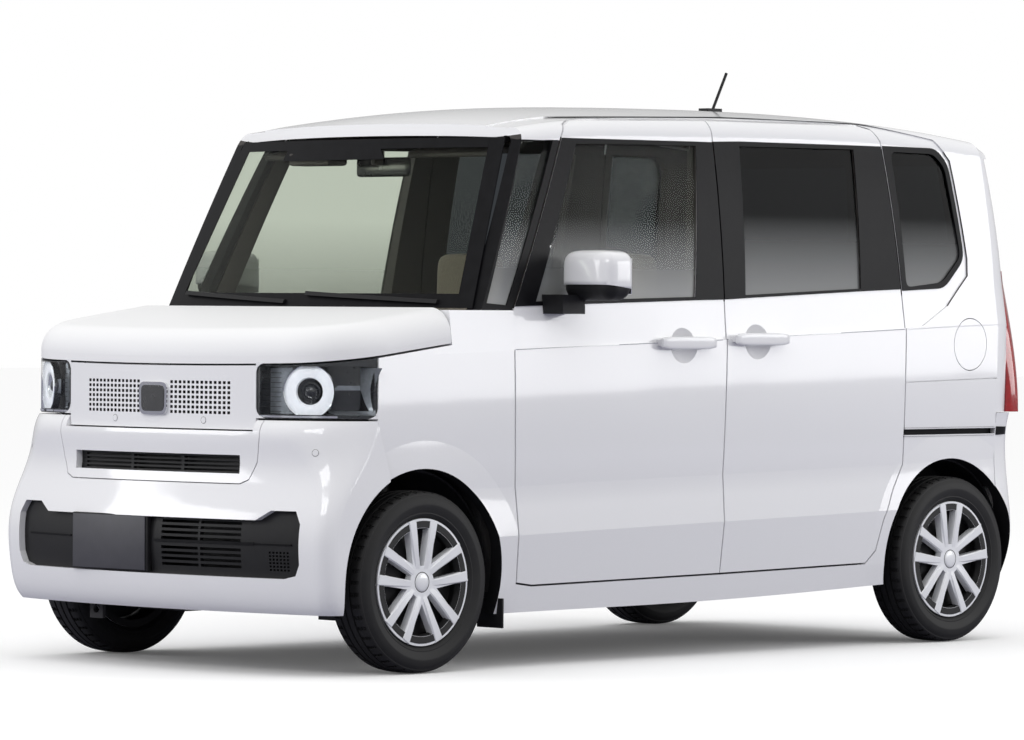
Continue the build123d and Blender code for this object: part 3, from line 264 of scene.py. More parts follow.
@dataclass(frozen=True)
class GradedGlass(Finish):
    """Tinted glass with a painted reflection of the pale floor, a grey that grows towards its lower edge.

    Attributes:
        painted_reflection_colour: Colour of the painted floor reflection.
        painted_reflection_share: Share of the painted reflection at the lower edge.
        low: Height in metres where it is strongest.
        high: Height in metres where it ends.
    """

    painted_reflection_colour: str = "9A9C9C"
    painted_reflection_share: float = 0.5
    low: float = 1.14
    high: float = 1.55

    def pattern(self, tree: bpy.types.NodeTree, bsdf: bpy.types.Node, place: bpy.types.Node) -> None:
        """Mix the painted floor reflection in over the height of the glass.

        Args:
            tree: Node tree of the material.
            bsdf: Surface node of the clear part.
            place: Texture coordinates.
        """
        super().pattern(tree, bsdf, place)
        # Painted reflection of the pale floor: a grey surface mixed into the glass, strongest low down
        painted_reflection_bsdf = add_node(tree, "ShaderNodeBsdfPrincipled", Roughness=0.3, Base_Color=linear(self.painted_reflection_colour))
        split = add_node(tree, "ShaderNodeSeparateXYZ")
        share = add_node(tree, "ShaderNodeMapRange", From_Min=self.low, From_Max=self.high,
                         To_Min=self.painted_reflection_share, To_Max=0.0)
        mix = add_node(tree, "ShaderNodeMixShader")
        tree.links.new(place.outputs["Object"], split.inputs[0])
        tree.links.new(split.outputs["Z"], share.inputs["Value"])
        tree.links.new(share.outputs["Result"], mix.inputs[0])
        tree.links.new(bsdf.outputs[0], mix.inputs[1])
        tree.links.new(painted_reflection_bsdf.outputs[0], mix.inputs[2])
        tree.links.new(mix.outputs[0], tree.nodes["Material Output"].inputs["Surface"])


@dataclass(frozen=True)
class CrownedPaint(Finish):
    """Paint on the side panels, with the soft crown that the presses leave in the steel.

    Attributes:
        waist: Height of the lower end of the crown at mid-length, and its rise along the car.
        shoulder: Height of the upper end of the crown at mid-length, and its rise along the car.
        crown: Depth of the crown in metres.
        top: Share of the height where the crown stands highest.
        ease: Slope that softens the fold at the waist.
        band: Height over which it fades out, in metres.
        arches: Wheel centres as x, z.
        arch_reach: Inner and outer radius of the flare round the wheels.
        arch_slope: Slope of that flare.
    """

    waist: Point = (0.578, -0.0219)
    shoulder: Point = (1.0125, -0.0345)
    crown: float = 0.027
    top: float = 0.2
    ease: float = 0.092
    band: float = 0.06
    arches: tuple[Point, Point] = ((1.1825, 0.2785), (-1.3375, 0.2785))
    arch_reach: Point = (0.34, 0.43)
    arch_slope: float = 0.075

    def pattern(self, tree: bpy.types.NodeTree, bsdf: bpy.types.Node, place: bpy.types.Node) -> None:
        """Tilt the shading as the pressed crown, the fold and the wheel flares do.

        Args:
            tree: Node tree of the material.
            bsdf: Surface node.
            place: Texture coordinates.
        """
        super().pattern(tree, bsdf, place)
        split = add_node(tree, "ShaderNodeSeparateXYZ")
        tree.links.new(place.outputs["Object"], split.inputs[0])
        x, z = split.outputs["X"], split.outputs["Z"]

        def step(kind: str, *terms: object) -> bpy.types.NodeSocket:
            """Add one math node.

            Args:
                kind: Name of the operation.
                terms: Sockets to link or numbers to set.

            Returns:
                The socket with the result.
            """
            node = add_node(tree, "ShaderNodeMath", operation=kind)
            for socket, term in zip(node.inputs, terms):
                if isinstance(term, float):
                    socket.default_value = term
                else:
                    tree.links.new(term, socket)
            return node.outputs[0]

        low = step("MULTIPLY_ADD", x, self.waist[1], self.waist[0])
        high = step("MULTIPLY_ADD", x, self.shoulder[1], self.shoulder[0])
        above = step("SUBTRACT", z, low)
        share = step("DIVIDE", above, step("SUBTRACT", high, low))
        share = step("MINIMUM", step("MAXIMUM", share, 0.0), 1.0)
        off = step("SUBTRACT", share, self.top)
        bow = step("MULTIPLY", step("MULTIPLY", off, off), -self.crown)
        under = step("MINIMUM", step("MAXIMUM", above, -self.band), 0.0)
        fade = step("MULTIPLY_ADD", step("MULTIPLY", under, under), 0.5 / self.band, under)
        height = step("MULTIPLY_ADD", fade, self.ease, bow)
        reaches = []
        for middle_x, middle_z in self.arches:
            along, up = step("SUBTRACT", x, middle_x), step("SUBTRACT", z, middle_z)
            reaches.append(step("SQRT", step("MULTIPLY_ADD", along, along, step("MULTIPLY", up, up))))
        reach = step("MINIMUM", *reaches)
        reach = step("MINIMUM", step("MAXIMUM", reach, self.arch_reach[0]), self.arch_reach[1])
        height = step("MULTIPLY_ADD", reach, -self.arch_slope, height)
        bump = add_node(tree, "ShaderNodeBump", Strength=1.0, Distance=1.0)
        tree.links.new(height, bump.inputs["Height"])
        tree.links.new(bump.outputs["Normal"], bsdf.inputs["Normal"])
        tree.links.new(bump.outputs["Normal"], bsdf.inputs["Coat Normal"])


# Pearl white lacquer on steel panels: sprayed base coat with mica flake under a polished clear coat,
# a soft white that mirrors the lights; the flake is drawn coarser than it is
PEARL = Finish("pearl_white", "F0F0F1", roughness=0.4, coat=1.0, coat_roughness=0.08, specular=0.2,
               vary_mm=1.1, vary_to="E2E3EA", vary_share=0.35, slot="white_paint")
# The same lacquer on the pressed side panels
PEARL_SIDE = CrownedPaint("pearl_side", "F0F0F1", roughness=0.4, coat=1.0, coat_roughness=0.08,
                          specular=0.2, vary_mm=1.1, vary_to="E2E3EA", vary_share=0.35, slot="white_paint")
# The same lacquer on the bonnet, with its clear coat left soft so that it does not mirror the screen
PEARL_SOFT = Finish("pearl_soft", "F2F2F2", roughness=0.5, coat=0.12, coat_roughness=0.3, specular=0.1,
                    vary_mm=1.1, vary_to="E4E5EA", vary_share=0.35, slot="white_paint")
# Laminated screen glass, float glass bent in a mould, clear with a faint olive tint
CLEAR_GLASS = Finish("clear_glass", "E9EEE2", roughness=0.0, transmission=1.0, ior=1.12, slot="clear_glass")
# Privacy glass tinted in the melt, for the rear of the cabin, greyed low down by a painted floor reflection
DARK_GLASS = GradedGlass("dark_glass", "383B3E", roughness=0.0, transmission=1.0, ior=1.09, painted_reflection_share=0.55,
                         high=1.42, slot="dark_glass")
# The same privacy glass on the right, which faces away from the pale floor
DARK_PLAIN = Finish("dark_glass_plain", "383B3E", roughness=0.0, transmission=1.0, ior=1.09,
                    slot="dark_glass")
# Tempered door glass, bent in a mould, lighter than the rear glass, greyed at its foot by a painted floor
# reflection
DOOR_GLASS = GradedGlass("door_glass", "C9CEC8", roughness=0.0, transmission=1.0, ior=1.09, painted_reflection_colour="B4B6B6",
                         painted_reflection_share=0.55, high=1.4, slot="clear_glass")
# The inner face of the same glass, which mirrors no floor
DOOR_GLASS_INNER = Finish("door_glass_inner", "C9CEC8", roughness=0.0, transmission=1.0, ior=1.09,
                          slot="clear_glass")
# Polycarbonate lamp lens, moulded clear and lacquered
LENS = Finish("lamp_lens", "F2F4F6", roughness=0.0, transmission=1.0, ior=1.15, slot="lamp_lens")
# Satin black film on the door sashes, and moulded pillar trim
BLACK_SATIN = Finish("black_satin", "0B0B0E", roughness=0.42, specular=0.12,
                     vary_mm=40.0, vary_to="18181B", vary_share=0.5, slot="black_plastic")
# Grained black polypropylene of grilles, cowl and liners, moulded in a textured tool
BLACK_PLASTIC = Finish("black_plastic", "131315", roughness=0.52, specular=0.3, grain_mm=1.2,
                       grain_depth=0.35, vary_mm=30.0, vary_to="1E1E20", vary_share=0.4,
                       slot="black_plastic")
# Vulcanised tyre rubber with a dusty bloom
RUBBER = Finish("tyre_rubber", "0F0F10", roughness=0.66, grain_mm=2.0, grain_depth=0.25,
                vary_mm=45.0, vary_to="1D1C1C", vary_share=0.55, slot="tyre")
# Silver painted cast alloy under a clear coat
ALLOY = Finish("silver_alloy", "F1F2F4", roughness=0.3, metallic=0.12, coat=0.6, grain_mm=0.6,
               grain_depth=0.04, vary_mm=0.9, vary_to="DCDFE4", vary_share=0.5, slot="alloy")
# Red acrylic lamp moulding, with fine prisms
RED_LENS = Finish("red_lens", "A80C16", roughness=0.12, coat=1.0, grain_mm=5.0, grain_depth=0.2,
                  vary_mm=14.0, vary_to="7A0810", vary_share=0.6, slot="red_lens")
# Dark moulded lamp housing, gloss
LAMP_BLACK = Finish("lamp_black", "1B1C1E", roughness=0.25, coat=0.4,
                    vary_mm=25.0, vary_to="2A2B2E", vary_share=0.4, slot="lamp_housing")
# Grey lamp reflector, aluminium vapour on a moulding; also laid as painted highlights on the side of the
# headlamps
LAMP_GREY = Finish("lamp_grey", "8E9296", roughness=0.3, metallic=0.6,
                   vary_mm=12.0, vary_to="6E7276", vary_share=0.6)
# Bright vacuum coated reflector
CHROME = Finish("bright_chrome", "E8E9EA", roughness=0.07, metallic=1.0, vary_mm=60.0,
                vary_to="D8DADC", vary_share=0.5)
# Woven seat cloth in greige yarn
SEAT_CLOTH = Finish("seat_cloth", "8D8479", roughness=0.95, sheen=0.3, weave_mm=2.4, grain_depth=0.6,
                    vary_mm=6.0, vary_to="6F675E", vary_share=0.5, slot="seat_cloth")
# Grained cabin mouldings
CABIN = Finish("cabin_plastic", "34302E", roughness=0.6, grain_mm=1.5, grain_depth=0.3,
               vary_mm=50.0, vary_to="443F3C", vary_share=0.4, slot="cabin_plastic")
# Sand cast engine alloy
CAST = Finish("cast_alloy", "7C7D7F", roughness=0.55, metallic=0.8, grain_mm=3.0, grain_depth=0.4,
              vary_mm=35.0, vary_to="5F5F60", vary_share=0.5, slot="engine_alloy")
# Black dip coated chassis steel, dusty from the road
CHASSIS = Finish("chassis_black", "1F1F20", roughness=0.5, grain_mm=2.5, grain_depth=0.2,
                 vary_mm=70.0, vary_to="35312D", vary_share=0.5, slot="chassis_steel")
# Grey underbody coating, sprayed thick
UNDERBODY = Finish("underbody_grey", "3B3B3C", roughness=0.8, grain_mm=4.0, grain_depth=0.5,
                   vary_mm=90.0, vary_to="4A4743", vary_share=0.5, slot="underbody")
# Frosted light guide of the running lamp
LIGHT_RING = Finish("light_ring", "F4F5F7", roughness=0.35, coat=0.6, glow=0.12,
                    vary_mm=9.0, vary_to="DDE1E6", vary_share=0.5)
# Blank dark plate, painted aluminium
PLATE = Finish("dark_plate", "3A3A40", roughness=0.45, vary_mm=40.0, vary_to="44444A", vary_share=0.5)
# Flat black, on the backings, joints, bolts and lamp lines, and as painted shade on the rim barrels, the
# rim wells, the discs behind the spokes and the walls of the grille holes
BLACK_AND_PAINTED_SHADE = Finish("wheel_black", "0C0C0D", roughness=0.6, vary_mm=30.0, vary_to="191818", vary_share=0.5)
# Shade in a fine pressed groove of the panels
GROOVE = Finish("panel_groove", "A2A2AA", roughness=0.8, vary_mm=20.0, vary_to="8E8E98", vary_share=0.5)
# Woven headliner
HEADLINER = Finish("headliner", "77736E", roughness=0.95, weave_mm=2.0, grain_depth=0.4,
                   vary_mm=8.0, vary_to="68645F", vary_share=0.4)

SLOT_FINISH = {
    "white_paint": PEARL,
    "clear_glass": CLEAR_GLASS,
    "dark_glass": DARK_GLASS,
    "lamp_lens": LENS,
    "lamp_housing": LAMP_BLACK,
    "red_lens": RED_LENS,
    "tyre": RUBBER,
    "alloy": ALLOY,
    "seat_cloth": SEAT_CLOTH,
    "cabin_plastic": CABIN,
    "black_plastic": BLACK_PLASTIC,
    "engine_alloy": CAST,
    "chassis_steel": CHASSIS,
    "underbody": UNDERBODY,
}


NODE_FINISH = {
    "front_door_glass_left": DOOR_GLASS,
    "front_door_glass_right": DOOR_GLASS,
    "pillar_trims": BLACK_SATIN,
    "bonnet": PEARL_SOFT,
    "front_door_left": PEARL_SIDE,
    "front_door_right": PEARL_SIDE,
    "sliding_door_left": PEARL_SIDE,
    "sliding_door_right": PEARL_SIDE,
    "body_side_left": PEARL_SIDE,
    "body_side_right": PEARL_SIDE,
    "fuel_lid": PEARL_SIDE,
    "fender_left": PEARL_SIDE,
    "fender_right": PEARL_SIDE,
}


def dress_frame() -> None:
    """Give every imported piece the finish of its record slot."""
    slots = {s["node"]: s["material_slot"] for s in frame["record"]["subparts"]}
    for name, obj in frame["nodes"].items():
        finish = NODE_FINISH.get(name, SLOT_FINISH[slots[name]])
        obj.data.materials.clear()
        obj.data.materials.append(finish.material())
        obj.visible_shadow = finish.transmission == 0.0


def two_tone(node: str, finish: Finish, inside: Callable[[Vector, Vector], bool]) -> None:
    """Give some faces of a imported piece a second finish.

    Args:
        node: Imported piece.
        finish: Second finish.
        inside: Test on face centre and normal, true for the second finish.
    """
    obj = frame["nodes"][node]
    mesh = obj.data
    mesh.materials.append(finish.material())
    place = obj.matrix_world
    turn = place.to_3x3()
    for face in mesh.polygons:
        if inside(place @ face.center, turn @ face.normal):
            face.material_index = len(mesh.materials) - 1


class Press(Enum):
    """Way a trim piece is pressed onto the car: start of the ray and its direction."""

    LEFT = ("xz", (0.0, 3.0, 0.0), (0.0, -1.0, 0.0))
    RIGHT = ("xz", (0.0, -3.0, 0.0), (0.0, 1.0, 0.0))
    FRONT = ("yz", (4.0, 0.0, 0.0), (-1.0, 0.0, 0.0))
    REAR = ("yz", (-4.0, 0.0, 0.0), (1.0, 0.0, 0.0))

    def lift_point(self, u: float, v: float) -> Vector:
        """Start of the ray over a flat point.

        Args:
            u: First flat coordinate in millimetres.
            v: Second flat coordinate in millimetres.

        Returns:
            The start point in metres.
        """
        plane, start, _ = self.value
        flat = {"xz": (u, 0, v), "yz": (0, u, v)}[plane]
        return Vector(flat) * MM + Vector(start)

    @property
    def ray(self) -> Vector:
        """Direction of the press."""
        return Vector(self.value[2])


class Surface:
    """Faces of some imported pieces, to lay trim on."""

    def __init__(self, *nodes: str) -> None:
        """Gather the faces.

        Args:
            nodes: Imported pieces.
        """
        points: list[Vector] = []
        faces: list[list[int]] = []
        for name in nodes:
            obj = frame["nodes"][name]
            first = len(points)
            points.extend(obj.matrix_world @ v.co for v in obj.data.vertices)
            faces.extend([first + i for i in p.vertices] for p in obj.data.polygons)
        self.tree = BVHTree.FromPolygons(points, faces)

    def at(self, press: Press, u: float, v: float) -> Optional[Vector]:
        """Point of the surface under a flat point.

        Args:
            press: Way of the press.
            u: First flat coordinate in millimetres.
            v: Second flat coordinate in millimetres.

        Returns:
            The point in metres, or none beside the surface.
        """
        return self.tree.ray_cast(press.lift_point(u, v), press.ray)[0]

    def normal(self, press: Press, u: float, v: float) -> Vector:
        """Outward normal under a flat point.

        Args:
            press: Way of the press.
            u: First flat coordinate in millimetres.
            v: Second flat coordinate in millimetres.

        Returns:
            The normal, against the press.
        """
        found = self.tree.ray_cast(press.lift_point(u, v), press.ray)[1] or -press.ray
        return found if found.dot(press.ray) < 0 else -found


def finish_piece(
    bm: bmesh.types.BMesh, name: str, finish: Finish, body: str, sharp: float = 35.0
) -> bpy.types.Object:
    """Turn a worked mesh into a piece of the car.

    Args:
        bm: Worked mesh, freed here.
        name: Object name.
        finish: Its finish.
        body: Body it rides on.
        sharp: Angle in degrees above which an edge stays sharp.

    Returns:
        The object.
    """
    bmesh.ops.recalc_face_normals(bm, faces=bm.faces)
    mesh = bpy.data.meshes.new(name)
    bm.to_mesh(mesh)
    bm.free()
    mesh.shade_smooth()
    mesh.set_sharp_from_angle(angle=math.radians(sharp))
    mesh.materials.append(finish.material())
    obj = bpy.data.objects.new(name, mesh)
    bpy.context.scene.collection.objects.link(obj)
    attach(obj, body)
    return obj


def inside_outline(u: float, v: float, outline: Sequence[Point]) -> bool:
    """Tell whether a flat point lies inside an outline.

    Args:
        u: First coordinate.
        v: Second coordinate.
        outline: Corner points.

    Returns:
        True inside.
    """
    found = False
    for (a, b), (c, d) in zip(outline, [*outline[1:], outline[0]]):
        if (b > v) != (d > v) and u < (c - a) * (v - b) / (d - b) + a:
            found = not found
    return found


def walk(outline: Sequence[Point], step: float) -> list[Point]:
    """Walk round an outline in short steps.

    Args:
        outline: Corner points.
        step: Longest step.

    Returns:
        Points along the outline.
    """
    points: list[Point] = []
    for (a, b), (c, d) in zip(outline, [*outline[1:], outline[0]]):
        count = max(1, math.ceil(math.hypot(c - a, d - b) / step))
        points.extend((a + (c - a) * i / count, b + (d - b) * i / count) for i in range(count))
    return points


def rounded(outline: Sequence[Point], radius: float | Sequence[float], steps: int = 5) -> list[Point]:
    """Round the corners of an outline.

    Args:
        outline: Corner points.
        radius: Largest corner radius, one for all or one for each corner.
        steps: Points in each corner.

    Returns:
        The rounded outline.
    """
    points: list[Point] = []
    count = len(outline)
    for i, corner in enumerate(outline):
        before = Vector(outline[i - 1]) - Vector(corner)
        after = Vector(outline[(i + 1) % count]) - Vector(corner)
        largest = radius[i] if isinstance(radius, Sequence) else radius
        reach = min(largest, before.length * 0.45, after.length * 0.45)
        start = Vector(corner) + before.normalized() * reach
        end = Vector(corner) + after.normalized() * reach
        for k in range(steps + 1):
            t = k / steps
            spot = start * (1 - t) ** 2 + Vector(corner) * 2 * t * (1 - t) + end * t**2
            points.append((spot.x, spot.y))
    return points


def smooth_depths(spots: Sequence[Vector], press: Press, surface: Surface) -> list[float]:
    """Depth of the skin under flat points, by a quadratic fit that drops stray hits.

    Args:
        spots: Flat points in millimetres.
        press: Way of the press.
        surface: Skin under the points.

    Returns:
        Distance along the press to the skin for each point, in metres.
    """
    rows = np.array([(1.0, p.x, p.y, p.x * p.x, p.x * p.y, p.y * p.y) for p in spots])
    rows[:, 1:] /= 1000.0
    rows[:, 3:] /= 1000.0
    hits = [surface.at(press, p.x, p.y) for p in spots]
    starts = [press.lift_point(p.x, p.y) for p in spots]
    depths = np.array(
        [np.nan if h is None else (h - b).dot(press.ray) for h, b in zip(hits, starts)]
    )
    good = ~np.isnan(depths)
    good &= depths < np.nanmedian(depths) + 0.12
    fit = np.zeros(6)
    for limit in (0.03, 0.012, 0.006, 0.004):
        fit = np.linalg.lstsq(rows[good], depths[good], rcond=None)[0]
        good = ~np.isnan(depths) & (np.abs(np.nan_to_num(depths, nan=9.0) - rows @ fit) < limit)
        if good.sum() < 8:
            break
    plain = rows @ fit
    near = np.abs(np.nan_to_num(depths, nan=9.0) - plain) < 0.0025
    return list(np.where(near, depths, plain))


def lay(
    name: str,
    outline: Sequence[Point],
    press: Press,
    surface: Surface,
    finish: Finish,
    body: str,
    lift: float = 1.2,
    sink: float = 2.0,
    cell: float = 24.0,
) -> bpy.types.Object:
    """Lay a thin piece of trim over an outline on the car's skin.

    Args:
        name: Object name.
        outline: Outline in millimetres in the plane of the press.
        press: Way of the press.
        surface: Skin under the trim.
        finish: Its finish.
        body: Body it rides on.
        lift: Height of its top above the skin.
        sink: Depth of its edge under the skin.
        cell: Mesh size.

    Returns:
        The object.
    """
    rim = walk(outline, cell)
    us, vs = [p[0] for p in outline], [p[1] for p in outline]
    inner: list[Point] = []
    for i in range(1, int((max(us) - min(us)) / cell) + 1):
        for j in range(1, int((max(vs) - min(vs)) / cell) + 1):
            spot = (min(us) + i * cell, min(vs) + j * cell)
            near = min(math.hypot(spot[0] - p[0], spot[1] - p[1]) for p in rim)
            if near > 0.5 * cell and inside_outline(*spot, outline):
                inner.append(spot)
    loop = [(i, (i + 1) % len(rim)) for i in range(len(rim))]
    flat, _, faces, *_ = delaunay_2d_cdt([Vector(p) for p in rim + inner], loop, [], 1, 1e-4)
    depths = smooth_depths(flat, press, surface)
    bm = bmesh.new()
    tops = []
    for spot, depth in zip(flat, depths):
        tops.append(bm.verts.new(press.lift_point(spot.x, spot.y) + press.ray * (depth + sink * MM)))
    middles = [sum((flat[i] for i in f), Vector((0.0, 0.0))) / len(f) for f in faces]
    kept = [f for f, m in zip(faces, middles) if inside_outline(m.x, m.y, outline)]
    made = [bm.faces.new([tops[i] for i in f]) for f in kept]
    loose = [v for v in tops if not v.link_faces]
    bmesh.ops.delete(bm, geom=loose, context="VERTS")
    grown = bmesh.ops.extrude_face_region(bm, geom=made)
    moved = [g for g in grown["geom"] if isinstance(g, bmesh.types.BMVert)]
    bmesh.ops.translate(bm, verts=moved, vec=-press.ray * (sink + lift) * MM)
    return finish_piece(bm, name, finish, body)


def block(
    name: str,
    centre: Solid,
    size: Solid,
    finish: Finish,
    body: str,
    bevel: float = 3.0,
    turn: Optional[Matrix] = None,
    segments: int = 3,
) -> bpy.types.Object:
    """Make a block with rounded edges.

    Args:
        name: Object name.
        centre: Middle in millimetres.
        size: Edge lengths in millimetres.
        finish: Its finish.
        body: Body it rides on.
        bevel: Edge radius.
        turn: Turn about the middle.
        segments: Steps in the edge radius.

    Returns:
        The object.
    """
    bm = bmesh.new()
    bmesh.ops.create_cube(bm, size=1.0)
    bmesh.ops.scale(bm, vec=Vector(size) * MM, verts=bm.verts)
    if bevel:
        reach = min(bevel, 0.48 * min(size)) * MM
        bmesh.ops.bevel(
            bm,
            geom=bm.edges,
            offset=reach,
            affect="EDGES",
            segments=segments,
            profile=0.5,
            material=-1,
        )
    if turn is not None:
        bmesh.ops.transform(bm, matrix=turn.to_4x4(), verts=bm.verts)
    bmesh.ops.translate(bm, vec=Vector(centre) * MM, verts=bm.verts)
    return finish_piece(bm, name, finish, body)


def axis_turn(along: Vector) -> Matrix:
    """Turn that points the z axis along a direction.

    Args:
        along: The direction.

    Returns:
        The rotation.
    """
    return along.normalized().to_track_quat("Z", "Y").to_matrix()


def lathe(
    name: str,
    profile: Sequence[Point],
    centre: Solid,
    along: Vector,
    finish: Finish,
    body: str,
    segments: int = 48,
) -> bpy.types.Object:
    """Turn a profile about an axis.

    Args:
        name: Object name.
        profile: Radius and height points in millimetres.
        centre: Foot of the axis in millimetres.
        along: Direction of the axis.
        finish: Its finish.
        body: Body it rides on.
        segments: Steps round.

    Returns:
        The object.
    """
    bm = bmesh.new()
    verts = [bm.verts.new((r * MM, 0.0, h * MM)) for r, h in profile]
    edges = [bm.edges.new(pair) for pair in zip(verts, verts[1:])]
    bmesh.ops.spin(
        bm,
        geom=verts + edges,
        cent=(0, 0, 0),
        axis=(0, 0, 1),
        angle=2 * math.pi,
        steps=segments,
        use_merge=True,
    )
    bmesh.ops.remove_doubles(bm, verts=bm.verts, dist=1e-6)
    bmesh.ops.transform(bm, matrix=axis_turn(along).to_4x4(), verts=bm.verts)
    bmesh.ops.translate(bm, vec=Vector(centre) * MM, verts=bm.verts)
    return finish_piece(bm, name, finish, body)


def tube(
    name: str, path: Sequence[Vector], radius: float, finish: Finish, body: str, sides: int = 10
) -> bpy.types.Object:
    """Draw a round bar along a path.

    Args:
        name: Object name.
        path: Points in metres.
        radius: Bar radius in millimetres.
        finish: Its finish.
        body: Body it rides on.
        sides: Steps round.

    Returns:
        The object.
    """
    bm = bmesh.new()
    rings = []
    for i, spot in enumerate(path):
        ahead = path[min(i + 1, len(path) - 1)] - path[max(i - 1, 0)]
        turn = axis_turn(ahead)
        ring = []
        for k in range(sides):
            a = 2 * math.pi * k / sides
            ring.append(bm.verts.new(spot + turn @ Vector((math.cos(a), math.sin(a), 0)) * radius * MM))
        rings.append(ring)
    for low, high in zip(rings, rings[1:]):
        for k in range(sides):
            bm.faces.new((low[k], low[(k + 1) % sides], high[(k + 1) % sides], high[k]))
    bm.faces.new(rings[0])
    bm.faces.new(rings[-1])
    return finish_piece(bm, name, finish, body)


def cushion(bm: bmesh.types.BMesh, centre: Solid, size: Solid, lean: float, power: float = 5.0) -> None:
    """Add one stuffed block to a mesh.

    Args:
        bm: Mesh that gets it.
        centre: Middle in millimetres.
        size: Lengths in millimetres.
        lean: Turn about the cross axis in degrees.
        power: Squareness of the block.
    """
    one = bmesh.new()
    bmesh.ops.create_cube(one, size=2.0)
    bmesh.ops.subdivide_edges(one, edges=one.edges, cuts=9, use_grid_fill=True)
    turn = Matrix.Rotation(math.radians(lean), 3, "Y")
    for vert in one.verts:
        long = sum(abs(c) ** power for c in vert.co) ** (1 / power)
        local = vert.co / long
        local = Vector(local[i] * size[i] * 0.5 for i in range(3))
        vert.co = (turn @ local + Vector(centre)) * MM
    mesh = bpy.data.meshes.new("cushion")
    one.to_mesh(mesh)
    one.free()
    bm.from_mesh(mesh)
    bpy.data.meshes.remove(mesh)


def mirror_points(outline: Sequence[Point]) -> list[Point]:
    """Outline on the other side of the centre line, seen from ahead or behind.

    Args:
        outline: Points as y, z.

    Returns:
        The points with y turned over.
    """
    return [(-y, z) for y, z in outline]


@dataclass(frozen=True)
class SideTrim:
    """Black sash and pillar trim of both sides.

    Attributes:
        strips: Skin, name and outline as x, z of each strip.
        shoulder: Skin and outline of the fine groove along the shoulder.
        ring: Outline of the border round the rear side window.
        ring_round: Corner radii of the border.
        window: Inner edge of the border.
        window_round: Corner radius of the inner edge.
        film: Lift, sink and mesh size of the black strips.
        groove: The same for the groove.
    """

    strips: tuple[tuple[str, str, tuple[Point, ...]], ...] = (
        ("door", "sash_front",
         ((783, 1118), (508, 1648), (446, 1648), (448, 1630), (690, 1134), (694, 1121))),
        ("door", "sash_rear", ((-44, 1142), (-112, 1638), (-112, 1652), (-193, 1652), (-181, 1145))),
        ("door", "sash_top", ((449, 1630), (446, 1648), (-112, 1652), (-112, 1638))),
        ("door", "belt", ((694, 1121), (690, 1134), (-44, 1153), (-44, 1142))),
        ("slide", "sash_front",
         ((-187, 1145), (-199, 1654), (-322, 1658), (-322, 1642), (-287, 1160), (-286, 1150))),
        ("slide", "sash_rear",
         ((-862, 1176), (-862, 1185), (-893, 1646), (-893, 1660), (-1037, 1660), (-1066, 1184))),
        ("slide", "sash_top", ((-322, 1642), (-322, 1658), (-893, 1660), (-893, 1646))),
        ("slide", "belt", ((-286, 1150), (-287, 1160), (-862, 1185), (-862, 1176))),
        ("shell", "rail_upper", ((-1072, 717), (-1072, 723), (-1555, 723), (-1555, 717))),
        ("shell", "rail_lower", ((-1072, 700), (-1072, 694), (-1555, 694), (-1555, 700))),
        ("bumper", "rail_end", ((-1564, 694), (-1564, 723), (-1655, 721), (-1655, 697))),
    )

    shoulder: tuple[tuple[str, tuple[Point, ...]], ...] = (
        ("door", ((796, 984.0), (796, 986.4), (-181, 1017.6), (-181, 1015.2))),
        ("slide", ((-188, 1015.4), (-188, 1017.8), (-1062, 1052.8), (-1062, 1050.4))),
    )
    ring: tuple[Point, ...] = (
        (-1075, 1179), (-1046, 1662), (-1328, 1661), (-1382, 1612), (-1413, 1288), (-1296, 1189),
    )
    ring_round: tuple[float, ...] = (0.5, 0.5, 34.0, 34.0, 40.0, 34.0)
    window: tuple[Point, ...] = (
        (-1098, 1191), (-1085, 1643), (-1312, 1641), (-1361, 1598), (-1393, 1296), (-1288, 1209),
    )
    window_round: float = 26.0
    film: Solid = (2.0, 3.0, 22.0)
    groove: Solid = (0.5, 0.5, 40.0)

    def build(self) -> None:
        """Lay all strips on both sides."""
        for side, press in ((Side.LEFT, Press.LEFT), (Side.RIGHT, Press.RIGHT)):
            tail = side.name.lower()
            skins = {
                "door": Surface(f"front_door_{tail}"),
                "slide": Surface(f"sliding_door_{tail}"),
                "shell": Surface(f"body_side_{tail}"),
                "bumper": Surface("rear_bumper"),
            }
            for skin, name, outline in self.strips:
                body = f"front_door_{tail}" if skin == "door" else Body.SHELL.value
                lay(f"{skin}_{name}_{tail}", outline, press, skins[skin], BLACK_SATIN, body, *self.film)
            for skin, outline in self.shoulder:
                body = f"front_door_{tail}" if skin == "door" else Body.SHELL.value
                lay(f"{skin}_groove_{tail}", outline, press, skins[skin], GROOVE, body, *self.groove)
            outer = rounded(self.ring, self.ring_round)
            inner = rounded(self.window, [self.window_round] * len(self.window))
            border = [*outer, outer[0], inner[0], *reversed(inner)]
            shell = Body.SHELL.value
            lay(f"quarter_border_{tail}", border, press, skins["shell"], BLACK_SATIN, shell, *self.film)


